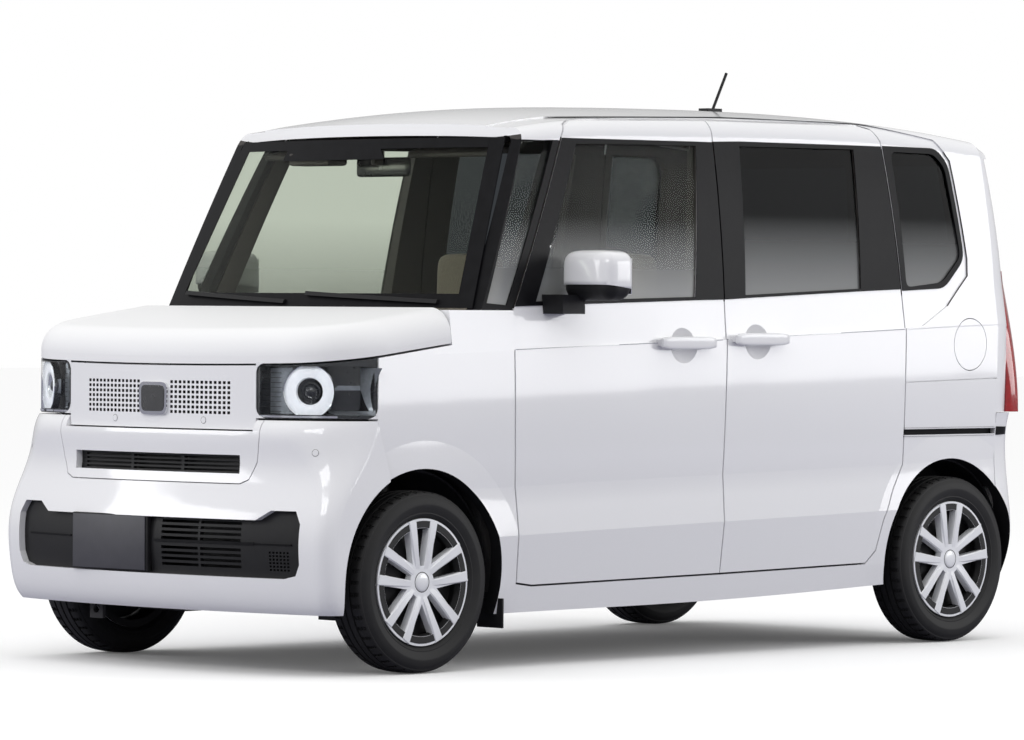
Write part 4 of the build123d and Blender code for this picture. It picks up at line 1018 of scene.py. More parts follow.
@dataclass(frozen=True)
class Windscreen:
    """Printed edge band of the windscreen, and the mirror, visors and sensor inside it.

    Attributes:
        band: Outlines of the band as y, z.
        film: Lift, sink and mesh size of the band.
        fittings: Name, middle, size, finish and edge radius of the pieces behind the glass.
        visor_at: Middle of the left sun visor.
        visor_size: Size of a sun visor.
        visor_tilt: Its tilt in degrees.
    """

    band: tuple[tuple[Point, ...], ...] = (
        ((683, 1112), (590, 1646), (536, 1646), (628, 1112)),
        ((-683, 1112), (-628, 1112), (-536, 1646), (-590, 1646)),
        ((628, 1112), (620, 1156), (-620, 1156), (-628, 1112)),
        ((541, 1614), (536, 1646), (-536, 1646), (-541, 1614)),
        ((150, 1580), (120, 1614), (-320, 1614), (-330, 1580)),
    )

    film: Solid = (2.5, 1.0, 30.0)
    fittings: tuple[tuple[str, Solid, Solid, Finish, float], ...] = (
        ("cabin_mirror", (640, -10, 1560), (26, 236, 62), LAMP_BLACK, 12.0),
        ("cabin_mirror_arm", (668, -10, 1590), (50, 18, 50), CABIN, 6.0),
        ("sensor_box", (735, -215, 1586), (90, 190, 44), CABIN, 12.0),
    )
    visor_at: Solid = (610, 330, 1612)
    visor_size: Solid = (150, 380, 18)
    visor_tilt: float = 14.0

    def build(self) -> None:
        """Lay the band and hang the fittings."""
        glass = Surface("windscreen")
        shell = Body.SHELL.value
        for i, outline in enumerate(self.band):
            lay(f"screen_band_{i}", outline, Press.FRONT, glass, BLACK_SATIN, shell, *self.film)
        for name, middle, size, finish, edge in self.fittings:
            block(name, middle, size, finish, shell, edge)
        tilt = Matrix.Rotation(math.radians(self.visor_tilt), 3, "Y")
        x, y, z = self.visor_at
        for side in Side:
            name = f"sun_visor_{side.name.lower()}"
            block(name, (x, side * y, z), self.visor_size, CABIN, shell, 7.0, tilt)


@dataclass(frozen=True)
class HeadLamp:
    """Inside of the two headlamps.

    Attributes:
        bearing: Plan angle of the light unit from straight ahead, degrees.
        spot: Middle of the light unit on the lens, millimetres.
        ring: Outer and inner radius of the bright ring.
        tail_corner: Painted corner at the rear of the lens, as x, z.
        patches: Painted corners of the lens: name, finish, height and outline as y, z.
        inner: Panels in the bowl: name, finish, height and outline as y, z.
        lens_highlights: Grey strips on the side of the bowl that paint highlights of the lens, as x, z.
        line_count: Number of dark lines on the panel.
        line_z: Height of the lowest line.
        line_pitch: Distance of the lines.
    """

    bearing: float = 27.0
    spot: Solid = (1562.0, 599.0, 858.0)
    ring: Point = (79.0, 40.0)
    tail_corner: tuple[Point, ...] = (
        (1388, 776), (1388, 806), (1392, 794), (1400, 784), (1414, 778), (1424, 776),
    )
    patches: tuple[tuple[str, Finish, float, tuple[Point, ...]], ...] = (
        ("corner_low", PEARL, 0.8,
         ((420, 776), (420, 806), (424, 794), (433, 784), (446, 778), (456, 776))),
        ("corner_high", PEARL, 0.8, ((420, 946), (420, 916), (426, 930), (436, 938), (452, 943))),
    )

    inner: tuple[tuple[str, Finish, float, tuple[Point, ...]], ...] = (
        ("panel", LAMP_GREY, 2.0, ((424, 790), (424, 926), (514, 930), (514, 790))),
        ("foot", CHROME, 3.0, ((424, 779), (424, 785), (672, 785), (672, 779))),
    )
    lens_highlights: tuple[tuple[Point, ...], ...] = (
        ((1396, 786), (1396, 930), (1408, 930), (1408, 800), (1500, 800), (1500, 786)),
        ((1410, 862), (1410, 876), (1500, 876), (1500, 862)),
    )
    line_count: int = 9
    line_z: float = 796.0
    line_pitch: float = 14.5

    def build(self) -> None:
        """Build both lamps."""
        for side in Side:
            self.one(side)

    def one(self, side: Side) -> None:
        """Build one lamp.

        Args:
            side: Side of the car.
        """
        tail = side.name.lower()
        shell = Body.SHELL.value
        turn = math.radians(self.bearing)
        ahead = Vector((math.cos(turn), side * math.sin(turn), 0.0))
        seat = Vector((self.spot[0], side * self.spot[1], self.spot[2])) - ahead * 30.0
        out, inn = self.ring
        ring = [(inn, 4), (inn + 3, 9), (out - 8, 12), (out, 8), (out, -8), (inn, -8), (inn, 4)]
        rim = [(out, -8), (out, 14), (out + 2, 15), (out + 3.5, 13), (out + 3.5, -8), (out, -8)]
        dish = [(inn, 4), (inn - 4, -4), (26, -14), (0.0, -15)]
        dome = [(24 * math.cos(a), -14 + 20 * math.sin(a)) for a in [math.pi / 2 * k / 8 for k in range(8)]]
        eye_rim = [(24, -14), (24, -6), (30, -6), (30, -14)]
        for name, profile, finish, steps in (
            ("ring", ring, LIGHT_RING, 64),
            ("rim", rim, CHROME, 64),
            ("bowl", dish, CHROME, 48),
            ("eye", [*dome, (0.0, 6.0)], LAMP_BLACK, 32),
            ("eye_rim", eye_rim, LAMP_BLACK, 32),
        ):
            lathe(f"lamp_{name}_{tail}", profile, seat, ahead, finish, shell, steps)
        bowl = Surface("headlamp_housings")
        for name, finish, lift, outline in self.inner:
            points = outline if side is Side.LEFT else mirror_points(outline)
            lay(f"lamp_{name}_{tail}", points, Press.FRONT, bowl, finish, shell, lift, 1.0, 14.0)
        for k in range(self.line_count):
            z = self.line_z + k * self.line_pitch
            line = [(424, z), (512, z), (512, z + 1.6), (424, z + 1.6)]
            points = line if side is Side.LEFT else mirror_points(line)
            lay(f"lamp_line_{k}_{tail}", points, Press.FRONT, bowl, BLACK_AND_PAINTED_SHADE, shell, 3.2, 0.0, 20.0)
        lens = Surface("headlamp_lenses")
        for name, finish, lift, outline in self.patches:
            points = outline if side is Side.LEFT else mirror_points(outline)
            lay(f"lamp_{name}_{tail}", points, Press.FRONT, lens, finish, shell, lift, 1.0, 12.0)
        press = Press.LEFT if side is Side.LEFT else Press.RIGHT
        # Painted highlights: grey strips along the lower and front edges of the lens and across its middle
        for k, outline in enumerate(self.lens_highlights):
            lay(f"lamp_flank_{k}_{tail}", outline, press, bowl, LAMP_GREY, shell, 2.0, 1.0, 14.0)
        lay(f"lamp_tail_corner_{tail}", self.tail_corner, press, lens, PEARL, shell, 0.8, 1.0, 10.0)


@dataclass(frozen=True)
class Nose:
    """Small pieces of the nose: bare badge seat, blank plate, sensors and grille bars.

    Attributes:
        badge_z: Height of the badge seat.
        badge: Name, finish, half widths at foot and top, half height, corner radius, lift and sink.
        backing: Corners of the dark sheet behind the grille panel, as y and height over the badge.
        blocks: Name, middle, size, finish and edge radius of the plate and the dark backings.
        bars: Bars of the lower grille as left and right end, height and middle height.
        sensors: Places of the parking sensors as y, z.
        sensor_face: Section of a sensor.
        sensor_gap: Section of the gap round it.
    """

    badge_z: float = 830.0
    badge: tuple[tuple[str, Finish, float, float, float, float, float, float], ...] = (
        ("badge_seat", CHROME, 62, 64, 50, 26, 9.0, 2.0),
        ("badge_face", LAMP_BLACK, 50, 52, 40, 19, 10.5, -8.0),
    )
    backing: tuple[Point, ...] = ((-345, -56), (345, -56), (345, 66), (-345, 66))
    blocks: tuple[tuple[str, Solid, Solid, Finish, float], ...] = (
        ("front_plate", (1688, -146, 386), (4, 330, 165), PLATE, 1.5),
        ("front_plate_seat", (1676, -146, 386), (20, 346, 174), BLACK_PLASTIC, 4.0),
        ("slot_backing", (1592, 0, 635), (6, 730, 52), BLACK_AND_PAINTED_SHADE, 1.0),
        ("lower_backing", (1590, 120, 385), (6, 640, 160), BLACK_AND_PAINTED_SHADE, 1.0),
    )
    bars: tuple[tuple[float, float, float, float], ...] = (
        (45, 452, 8.0, 398.0), (452, 590, 4.0, 398.0), (-590, -360, 4.0, 398.0),
    )
    sensors: tuple[Point, ...] = ((642, 675), (-642, 675), (-186, 766), (212, 766))
    sensor_face: tuple[Point, ...] = ((0.0, 1.6), (9.0, 1.6), (9.6, 1.0), (9.6, -2.0))
    sensor_gap: tuple[Point, ...] = ((9.8, 0.5), (10.8, 0.5))

    def build(self) -> None:
        """Build the pieces."""
        shell = Body.SHELL.value
        panel = Surface("grille_panel")
        z = self.badge_z
        for name, finish, foot, top, half, radius, lift, sink in self.badge:
            corners = [(-foot, z - half), (foot, z - half), (top, z + half), (-top, z + half)]
            outline = rounded(corners, radius)
            lay(name, outline, Press.FRONT, panel, finish, shell, lift, sink, 20.0)
        behind = [(y, z + over) for y, over in self.backing]
        lay("grille_backing", behind, Press.FRONT, panel, BLACK_AND_PAINTED_SHADE, shell, -13.0, 15.0, 60.0)
        for name, middle, size, finish, edge in self.blocks:
            block(name, middle, size, finish, shell, edge)
        insert = Surface("bumper_grilles")
        for i, (y0, y1, high, middle_z) in enumerate(self.bars):
            low, top = middle_z - high / 2, middle_z + high / 2
            outline = [(y0, low), (y1, low), (y1, top), (y0, top)]
            lay(f"grille_bar_{i}", outline, Press.FRONT, insert, BLACK_SATIN, shell, 5.0, 2.0, 60.0)
        bumper = Surface("front_bumper", "grille_panel")
        for i, (y, height) in enumerate(self.sensors):
            spot = bumper.at(Press.FRONT, y, height)
            if spot is None:
                continue
            out = bumper.normal(Press.FRONT, y, height)
            lathe(f"sensor_{i}", self.sensor_face, spot / MM, out, PEARL, shell, 24)
            lathe(f"sensor_gap_{i}", self.sensor_gap, spot / MM, out, BLACK_SATIN, shell, 24)


@dataclass(frozen=True)
class Wheels:
    """Places of the four wheels.

    Attributes:
        axles: Axle positions along the car by end.
        track: Distance of the wheel middles across the car.
        height: Height of the axles.
    """

    axles: tuple[tuple[str, float], ...] = (("front", 1182.5), ("rear", -1337.5))
    track: float = 1305.0
    height: float = 278.5

    def corners(self) -> list[tuple[str, float, Side]]:
        """Name, axle position and side of each wheel."""
        return [(f"{end}_{side.name.lower()}", x, side) for end, x in self.axles for side in Side]


@dataclass(frozen=True)
class WheelTrim(Wheels):
    """Disc behind the spokes, partly dark steel and partly painted shade, spoke faces, a ring of painted
    shade in the rim well and bare hub cap of the four wheels.

    Attributes:
        spoke: Sections of a spoke: radius, distance from the pair's middle, half width, back, and
            face over the lip.
        chamfer: Edge of a spoke.
        pairs: Number of spoke pairs.
        well_radii: Radii at which the ring of painted shade follows the rim.
        well_gap: Bearing between two pairs where the rim is read, in degrees.
        disc: Section of the disc behind the spokes, partly dark steel and partly painted shade.
        cap: Section of the hub cap.
        bolt: Section of a wheel bolt.
        bolt_circle: Radius of the bolt circle.
    """

    spoke: tuple[tuple[float, float, float, float, float], ...] = (
        (30.0, 15.0, 11.0, 48.0, -5.0),
        (70.0, 24.0, 12.0, 50.0, 0.0),
        (140.0, 38.0, 15.5, 50.0, 3.0),
        (184.0, 46.0, 18.5, 50.0, 2.0),
    )
    chamfer: float = 4.0
    pairs: int = 5
    well_radii: tuple[float, ...] = (161.0, 166.0, 171.0, 176.0, 181.0, 187.0)
    well_gap: float = 54.0
    disc: tuple[Point, ...] = ((36, 20), (90, 26), (150, 14), (166, 18), (166, 8), (36, 8), (36, 20))
    cap: tuple[Point, ...] = ((0, 65), (12, 64.6), (22, 63.6), (27, 62), (29, 60), (29, 55))
    bolt: tuple[Point, ...] = ((0, 26), (8, 26), (10, 22), (10, 0))
    bolt_circle: float = 50.0

    def build(self) -> None:
        """Dress all wheels."""
        for name, x, side in self.corners():
            self.one(name, x, side)

    def one(self, name: str, x: float, side: Side) -> None:
        """Dress one wheel.

        Args:
            name: End and side of the wheel.
            x: Axle position.
            side: Side of the car.
        """
        body = f"wheel_{name}"
        out = Vector((0.0, float(side), 0.0))
        centre = (x, side * self.track / 2, self.height)
        # Disc behind the spokes in flat black: partly the dark steel there, partly painted shade
        lathe(f"disc_{name}", self.disc, centre, out, BLACK_AND_PAINTED_SHADE, body, 48)
        lathe(f"cap_{name}", self.cap, centre, out, ALLOY, body, 40)
        lathe(f"cap_gap_{name}", [(29, 60.2), (31.5, 60.2)], centre, out, BLACK_AND_PAINTED_SHADE, body, 40)
        self.spokes(name, x, side)
        for k in range(4):
            a, far = math.radians(45 + 90 * k), self.bolt_circle
            at = (x + far * math.cos(a), side * (self.track / 2 + 10), self.height + far * math.sin(a))
            lathe(f"bolt_{k}_{name}", self.bolt, at, out, BLACK_AND_PAINTED_SHADE, body, 6)


    def spokes(self, name: str, x: float, side: Side) -> None:
        """Broad faces on the spokes, and a ring of painted shade laid over the rim well between them and
        the lip.

        Args:
            name: End and side of the wheel.
            x: Axle position.
            side: Side of the car.
        """
        rim = Surface(f"rim_{name}")
        press = Press.LEFT if side is Side.LEFT else Press.RIGHT
        middle = self.track / 2
        gap = math.radians(self.well_gap)
        well = []
        for radius in self.well_radii:
            spot = rim.at(press, x + radius * math.cos(gap), self.height + radius * math.sin(gap))
            well.append((radius, (abs(spot.y) / MM - middle if spot else 40.0) + 0.8))
        # Painted shade: a black skin just over the rim between the spoke ends and the lip
        lathe(f"well_{name}", well, (x, side * middle, self.height), Vector((0.0, float(side), 0.0)),
              BLACK_AND_PAINTED_SHADE, f"wheel_{name}", 72)
        lip = max(deep for _, deep in well)
        bm = bmesh.new()
        for k in range(self.pairs):
            turn = math.radians(90.0 + 360.0 / self.pairs * k)
            along = Vector((math.cos(turn), 0.0, math.sin(turn)))
            across = Vector((-math.sin(turn), 0.0, math.cos(turn)))
            for hand in (-1, 1):
                ends = []
                for radius, apart, half, deep, sunk in self.spoke:
                    top = lip + sunk
                    at = Vector((x, side * middle, self.height)) + along * radius + across * hand * apart
                    up = Vector((0.0, float(side), 0.0))
                    edge = half - self.chamfer
                    ring = [(-half, deep), (-half, top - self.chamfer), (-edge, top), (edge, top),
                            (half, top - self.chamfer), (half, deep)]
                    ends.append([bm.verts.new((at + across * u + up * v) * MM) for u, v in ring])
                for low, high in zip(ends, ends[1:]):
                    for a, b, c, d in zip(low, low[1:], high[1:], high):
                        bm.faces.new((a, b, c, d))
                bm.faces.new(ends[0])
                bm.faces.new(ends[-1])
        finish_piece(bm, f"spokes_{name}", ALLOY, f"wheel_{name}", 25.0)


@dataclass(frozen=True)
class Tyre(Wheels):
    """Tyre with a grooved tread, cut shoulders and ringed sidewalls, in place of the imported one.

    Attributes:
        tread: Outer radius.
        wall: Section of a sidewall as radius and offset, from the bead to the shoulder.
        grooves: Middles of the grooves across the tread.
        groove_half: Half the width of a groove.
        groove_deep: Depth of a groove.
        segments: Steps round the tyre.
    """

    tread: float = 278.2
    wall: tuple[Point, ...] = (
        (182, 54), (197, 56), (200, 61), (206, 67), (209, 69.5), (212, 69), (224, 74), (234, 76.8),
        (237, 77.4), (240, 76.6), (250, 75.4), (259, 71), (265, 66), (268, 65.5), (272, 62), (275.4, 56),
    )
    grooves: tuple[float, ...] = (-27.0, 0.0, 27.0)
    groove_half: float = 3.6
    groove_deep: float = 6.5
    segments: int = 144

    def profile(self) -> list[Point]:
        """Section over the tread from one bead to the other.

        Returns:
            Radius and offset points in millimetres.
        """
        top: list[Point] = []
        for middle in self.grooves:
            edge = self.tread - 2.4 * (abs(middle) / 55) ** 2
            floor = edge - self.groove_deep
            near, far = middle - self.groove_half, middle + self.groove_half
            top += [(edge, near), (floor, near + 1.2), (floor, far - 1.2), (edge, far)]
        shoulder = [(self.tread - 1.6, 44.0)]
        over = [(r, -y) for r, y in self.wall]
        back = [(r, -y) for r, y in shoulder]
        return [*over, *back, *top, *shoulder, *reversed(self.wall)]

    def build(self) -> None:
        """Build the four tyres."""
        for name, x, side in self.corners():
            self.one(name, x, side)

    def one(self, name: str, x: float, side: Side) -> None:
        """Build one tyre.

        Args:
            name: End and side of the wheel.
            x: Axle position.
            side: Side of the car.
        """
        bm = bmesh.new()
        verts = [bm.verts.new((r * MM, y * MM, 0.0)) for r, y in self.profile()]
        edges = [bm.edges.new(pair) for pair in zip(verts, verts[1:])]
        bmesh.ops.spin(bm, geom=verts + edges, cent=(0, 0, 0), axis=(0, 1, 0), angle=2 * math.pi,
                       steps=self.segments, use_merge=True)
        bmesh.ops.remove_doubles(bm, verts=bm.verts, dist=1e-6)
        bmesh.ops.recalc_face_normals(bm, faces=bm.faces)
        blocks = []
        for face in bm.faces:
            spot = face.calc_center_median()
            radius = math.hypot(spot.x, spot.z) / MM
            step = int(round((math.atan2(spot.z, spot.x) / (2 * math.pi)) * self.segments - 0.5))
            on_shoulder = radius > 272.0 and 32.0 < abs(spot.y / MM) < 60.0
            if on_shoulder and step % 3 == 0:
                blocks.append(face)
        bmesh.ops.inset_individual(bm, faces=blocks, thickness=0.6 * MM, depth=-4.0 * MM)
        bmesh.ops.translate(bm, vec=Vector((x, side * self.track / 2, self.height)) * MM, verts=bm.verts)
        made = finish_piece(bm, f"tread_tyre_{name}", RUBBER, f"wheel_{name}", 28.0)
        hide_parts(f"tyre_{name}")


@dataclass(frozen=True)
class Cabin:
    """Padded seats and the pieces of the dash.

    Attributes:
        front_y: Middle of the left front seat.
        front_pads: Middle about the seat, size, lean and squareness of the pads of a front seat.
        bolsters: The same for the pads at each edge of a front seat.
        rear_y: Middle of the left half of the rear seat.
        rear_pads: The same for a half of the rear seat.
        bases: Name, middle, size and edge radius of the seat bases and the dash pieces.
        screen_tilt: Tilt of the dash screen in degrees.
    """

    front_y: float = 345.0
    front_pads: tuple[Pad, ...] = (
        ((205, 0, 508), (480, 478, 138), -4.0, 9.0),
        ((-52, 0, 800), (128, 478, 632), -9.6, 9.0),
        ((-98, 0, 1196), (86, 250, 192), -2.0, 6.0),
    )
    bolsters: tuple[Pad, ...] = (
        ((-22, 196, 800), (120, 76, 500), -9.6, 3.0),
        ((215, 200, 540), (430, 74, 100), -3.0, 3.0),
    )
    rear_y: float = 282.0
    rear_pads: tuple[Pad, ...] = (
        ((-645, 0, 526), (432, 558, 140), -4.0, 9.0),
        ((-880, 0, 800), (128, 558, 592), -10.0, 9.0),
    )
    bases: tuple[tuple[str, Solid, Solid, float], ...] = (
        ("rear_seat_base", (-700, 0, 365), (280, 1020, 206), 12.0),
        ("dash_shelf", (800, 340, 1066), (150, 420, 14), 5.0),
        ("meter_hood", (770, -340, 1082), (120, 330, 60), 18.0),
    )
    screen_tilt: float = -18.0

    def build(self) -> None:
        """Build the cabin pieces."""
        self.front_seats()
        self.rear_seat()
        shell = Body.SHELL.value
        tilt = Matrix.Rotation(math.radians(self.screen_tilt), 3, "Y")
        block("dash_screen", (716, 0, 985), (16, 250, 150), LAMP_BLACK, shell, 8.0, tilt)
        for name, middle, size, edge in self.bases:
            block(name, middle, size, CABIN, shell, edge)

    def stuff(self, bm: bmesh.types.BMesh, pads: Sequence[Pad], y: float, hand: int = 1) -> None:
        """Add the pads of one seat to a mesh.

        Args:
            bm: Mesh that gets them.
            pads: Middle about the seat, size, lean and squareness of each pad.
            y: Middle of the seat.
            hand: Edge of the seat that the pads stand at.
        """
        for (x, off, z), size, lean, power in pads:
            cushion(bm, (x, y + hand * off, z), size, lean, power)

    def front_seats(self) -> None:
        """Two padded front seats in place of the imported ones."""
        bm = bmesh.new()
        for side in Side:
            y = side * self.front_y
            self.stuff(bm, self.front_pads, y)
            for edge in (-1, 1):
                self.stuff(bm, self.bolsters, y, edge)
        seat = finish_piece(bm, "front_seat_pads", SEAT_CLOTH, Body.SHELL.value, 60.0)
        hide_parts("front_seats")
        shell = Body.SHELL.value
        for side in Side:
            middle = (210, side * self.front_y, 350)
            block(f"seat_base_{side.name.lower()}", middle, (340, 380, 176), CABIN, shell, 12.0)

    def rear_seat(self) -> None:
        """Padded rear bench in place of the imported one."""
        bm = bmesh.new()
        for side in Side:
            self.stuff(bm, self.rear_pads, side * self.rear_y)
        seat = finish_piece(bm, "rear_seat_pads", SEAT_CLOTH, Body.SHELL.value, 60.0)
        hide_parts("rear_seat")


def within(spot: Vector, room: Room) -> bool:
    """Tell whether a point lies in a box that both sides of the car share.

    Args:
        spot: Point in metres.
        room: Lowest and highest x, distance from the middle of the car, and z.

    Returns:
        True inside.
    """
    (x0, x1), (y0, y1), (z0, z1) = room
    return x0 < spot.x < x1 and y0 < abs(spot.y) < y1 and z0 < spot.z < z1


@dataclass(frozen=True)
class DoorTrim:
    """Handle grips, mirror caps and glass, key barrel and dark linings of doors and cabin sides.

    Attributes:
        grip_thick: Thickness of a handle grip.
        grip_high: Height of a handle grip.
        cap_at: Middle of the left mirror.
        cap_size: Size of the mirror cap along the axes.
        cap_foot: Height where the cap ends.
        cap_slope: Slant of its lower edge.
        cap_back: Distance from its middle to its open rear.
        glass_at: Middle of the left mirror glass.
        glass_size: Size of the mirror glass.
        flap_at: Middle of the left mud flap.
        flap_size: Size of a mud flap.
        key_share: Place of the key barrel along the handle.
        arches: Centre x, centre z and radius of the wheel arches in metres.
        hole_room: Where the grille panel has its holes.
        slot_room: Where the slot of the sliding door lies.
        post_room: Where the post beside the windscreen stands.
        window_room: Where the window reveals lie.
    """

    grip_thick: float = 24.0
    grip_high: float = 40.0
    cap_at: Solid = (545.0, 840.0, 1216.0)
    cap_size: Solid = (128.0, 218.0, 158.0)
    cap_foot: float = 1180.0
    cap_slope: float = -0.12
    cap_back: float = 42.0
    glass_at: Solid = (484.0, 840.0, 1214.0)
    glass_size: Solid = (4.0, 172.0, 112.0)
    flap_at: Solid = (838.0, 668.0, 172.0)
    flap_size: Solid = (8.0, 110.0, 92.0)
    key_share: float = 0.37
    arches: tuple[Solid, ...] = ((1.1825, 0.2785, 0.347), (-1.3245, 0.287, 0.333))
    hole_room: Room = ((-9.0, 9.0), (-1.0, 0.36), (0.77, 0.9))
    slot_room: Room = ((-9.0, -1.07), (0.5, 9.0), (0.6985, 0.7185))
    post_room: Room = ((0.42, 1.0), (0.5, 0.7), (1.125, 1.64))
    window_room: Room = ((-1.45, 9.0), (0.56, 9.0), (1.118, 1.652))

    def build(self) -> None:
        """Line the cabin and add the small pieces."""
        for side in Side:
            tail = side.name.lower()
            out = Vector((0.0, float(side), 0.0))
            for node in (f"front_door_{tail}", f"sliding_door_{tail}", f"body_side_{tail}"):
                two_tone(node, CABIN, self.lining(out))
            two_tone(f"body_side_{tail}", BLACK_SATIN, self.screen_post)
            door = f"front_door_{tail}"
            x, y, z = self.glass_at
            block(f"mirror_glass_{tail}", (x, side * y, z), self.glass_size, CHROME, door, 2.0)
            self.handles(side)
            self.mirror(side)
            x, y, z = self.flap_at
            shell = Body.SHELL.value
            block(f"mud_flap_{tail}", (x, side * y, z), self.flap_size, BLACK_PLASTIC, shell, 2.0)
            low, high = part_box(f"front_door_handle_{tail}")
            reach = high.y if side is Side.LEFT else -low.y
            along = low.x + self.key_share * (high.x - low.x)
            at = (along / MM, side * reach / MM, (low.z + high.z) / 2 / MM)
            lathe(f"key_barrel_{tail}", [(0, 2), (7, 2), (8, 0)], at, out, CHROME, door, 20)
            for node in (f"fender_{tail}", f"body_side_{tail}"):
                two_tone(node, BLACK_PLASTIC, self.arch)
            two_tone(f"body_side_{tail}", BLACK_SATIN, self.slot)
        for node in ("front_bumper", "rear_bumper"):
            two_tone(node, BLACK_PLASTIC, self.arch)
        # Painted shade on the walls of the holes in the grille panel
        two_tone("grille_panel", BLACK_AND_PAINTED_SHADE, self.hole)
        two_tone("fixed_side_glass", DOOR_GLASS, lambda centre, normal: centre.x > 0.2)
        for node in ("sliding_door_glass", "fixed_side_glass"):
            two_tone(node, DARK_PLAIN, lambda centre, normal: centre.y < 0.0 and centre.x < 0.2)
        for node in ("front_door_glass_left", "front_door_glass_right", "fixed_side_glass"):
            two_tone(node, DOOR_GLASS_INNER, self.inner_glass)
        # Painted shade on the barrel and the inner faces of each rim
        for name, x, side in Wheels().corners():
            two_tone(f"rim_{name}", BLACK_AND_PAINTED_SHADE, self.barrel(x * MM, side))
        two_tone("roof_panel", HEADLINER, lambda centre, normal: normal.z < -0.2)
        two_tone("tailgate", CABIN, lambda centre, normal: normal.x > 0.4)

    def handles(self, side: Side) -> None:
        """Rounded grips on the two door handles of a side.

        Args:
            side: Side of the car.
        """
        tail = side.name.lower()
        boxes = [(f"front_door_{tail}", *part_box(f"front_door_handle_{tail}"))]
        boxes.append((Body.SHELL.value, *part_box("sliding_door_handles")))
        for k, (body, low, high) in enumerate(boxes):
            out = max(abs(low.y), abs(high.y)) / MM
            middle = ((low.x + high.x) / 2 / MM, side * (out - 8.0), (low.z + high.z) / 2 / MM)
            bm = bmesh.new()
            cushion(bm, middle, ((high.x - low.x) / MM - 6.0, self.grip_thick, self.grip_high), 0.0, 5.0)
            finish_piece(bm, f"grip_{k}_{tail}", PEARL, body, 60.0)

    def mirror(self, side: Side) -> None:
        """White cap over the upper part of a door mirror.

        Args:
            side: Side of the car.
        """
        tail = side.name.lower()
        bm = bmesh.new()
        x, y, z = self.cap_at
        cushion(bm, (x, side * y, z), self.cap_size, 0.0, 4.5)
        everything = [*bm.verts, *bm.edges, *bm.faces]
        foot = Vector((x * MM, 0.0, self.cap_foot * MM))
        slant = Vector((self.cap_slope, 0.0, 1.0))
        bmesh.ops.bisect_plane(bm, geom=everything, plane_co=foot, plane_no=slant, clear_inner=True)
        back = Vector(((x - self.cap_back) * MM, 0.0, 0.0))
        everything = [*bm.verts, *bm.edges, *bm.faces]
        ahead = Vector((1.0, 0.0, 0.0))
        bmesh.ops.bisect_plane(bm, geom=everything, plane_co=back, plane_no=ahead, clear_inner=True)
        cap = finish_piece(bm, f"mirror_shell_{tail}", PEARL, f"front_door_{tail}", 60.0)
        thick = cap.modifiers.new("wall", "SOLIDIFY")
        thick.thickness = 2.0 * MM

    def arch(self, centre: Vector, normal: Vector) -> bool:
        """Test for faces that look at a wheel.

        Args:
            centre: Face centre.
            normal: Face normal.

        Returns:
            True on the inside of a wheel arch.
        """
        for x, z, radius in self.arches:
            reach = Vector((centre.x - x, 0.0, centre.z - z))
            if reach.length < radius and normal.dot(reach.normalized()) < -0.7:
                return True
        return False

    @staticmethod
    def barrel(x: float, side: Side) -> Callable[[Vector, Vector], bool]:
        """Test for the faces of a rim behind the spokes and on its back, which get painted shade.

        Args:
            x: Axle position in metres.
            side: Side of the car.

        Returns:
            The test.
        """

        def test(centre: Vector, normal: Vector) -> bool:
            """Tell whether a face gets painted shade.

            Args:
                centre: Face centre.
                normal: Face normal.

            Returns:
                True where the painted shade goes.
            """
            reach = Vector((centre.x - x, 0.0, centre.z - Wheels.height * MM))
            inward = reach.length > 0.15 and normal.dot(reach.normalized()) < -0.5
            return inward or normal.y * side < -0.5

        return test

    def hole(self, centre: Vector, normal: Vector) -> bool:
        """Test for the walls of the small holes in the grille panel, which get painted shade.

        Args:
            centre: Face centre.
            normal: Face normal.

        Returns:
            True in a hole.
        """
        return abs(normal.x) < 0.5 and within(centre, self.hole_room)

    @staticmethod
    def inner_glass(centre: Vector, normal: Vector) -> bool:
        """Test for the inner faces and edges of the front side glass.

        Args:
            centre: Face centre.
            normal: Face normal.

        Returns:
            True on an inner face.
        """
        return centre.x > -0.3 and normal.y * centre.y < 0.05

    def slot(self, centre: Vector, normal: Vector) -> bool:
        """Test for faces in the slot that guides the sliding door.

        Args:
            centre: Face centre.
            normal: Face normal.

        Returns:
            True in the slot.
        """
        return within(centre, self.slot_room) and normal.y * centre.y > -0.1

    def screen_post(self, centre: Vector, normal: Vector) -> bool:
        """Test for the faces of the post beside the windscreen.

        Args:
            centre: Face centre.
            normal: Face normal, not used.

        Returns:
            True on the post.
        """
        return within(centre, self.post_room)

    def lining(self, out: Vector) -> Callable[[Vector, Vector], bool]:
        """Test for faces that look into the cabin or line a window.

        Args:
            out: Direction out of the car on that side.

        Returns:
            The test.
        """

        def test(centre: Vector, normal: Vector) -> bool:
            """Tell whether a face lines the cabin.

            Args:
                centre: Face centre.
                normal: Face normal.

            Returns:
                True on the lining.
            """
            facing_in = normal.dot(out) < -0.25
            return facing_in or (within(centre, self.window_room) and abs(normal.dot(out)) < 0.6)

        return test


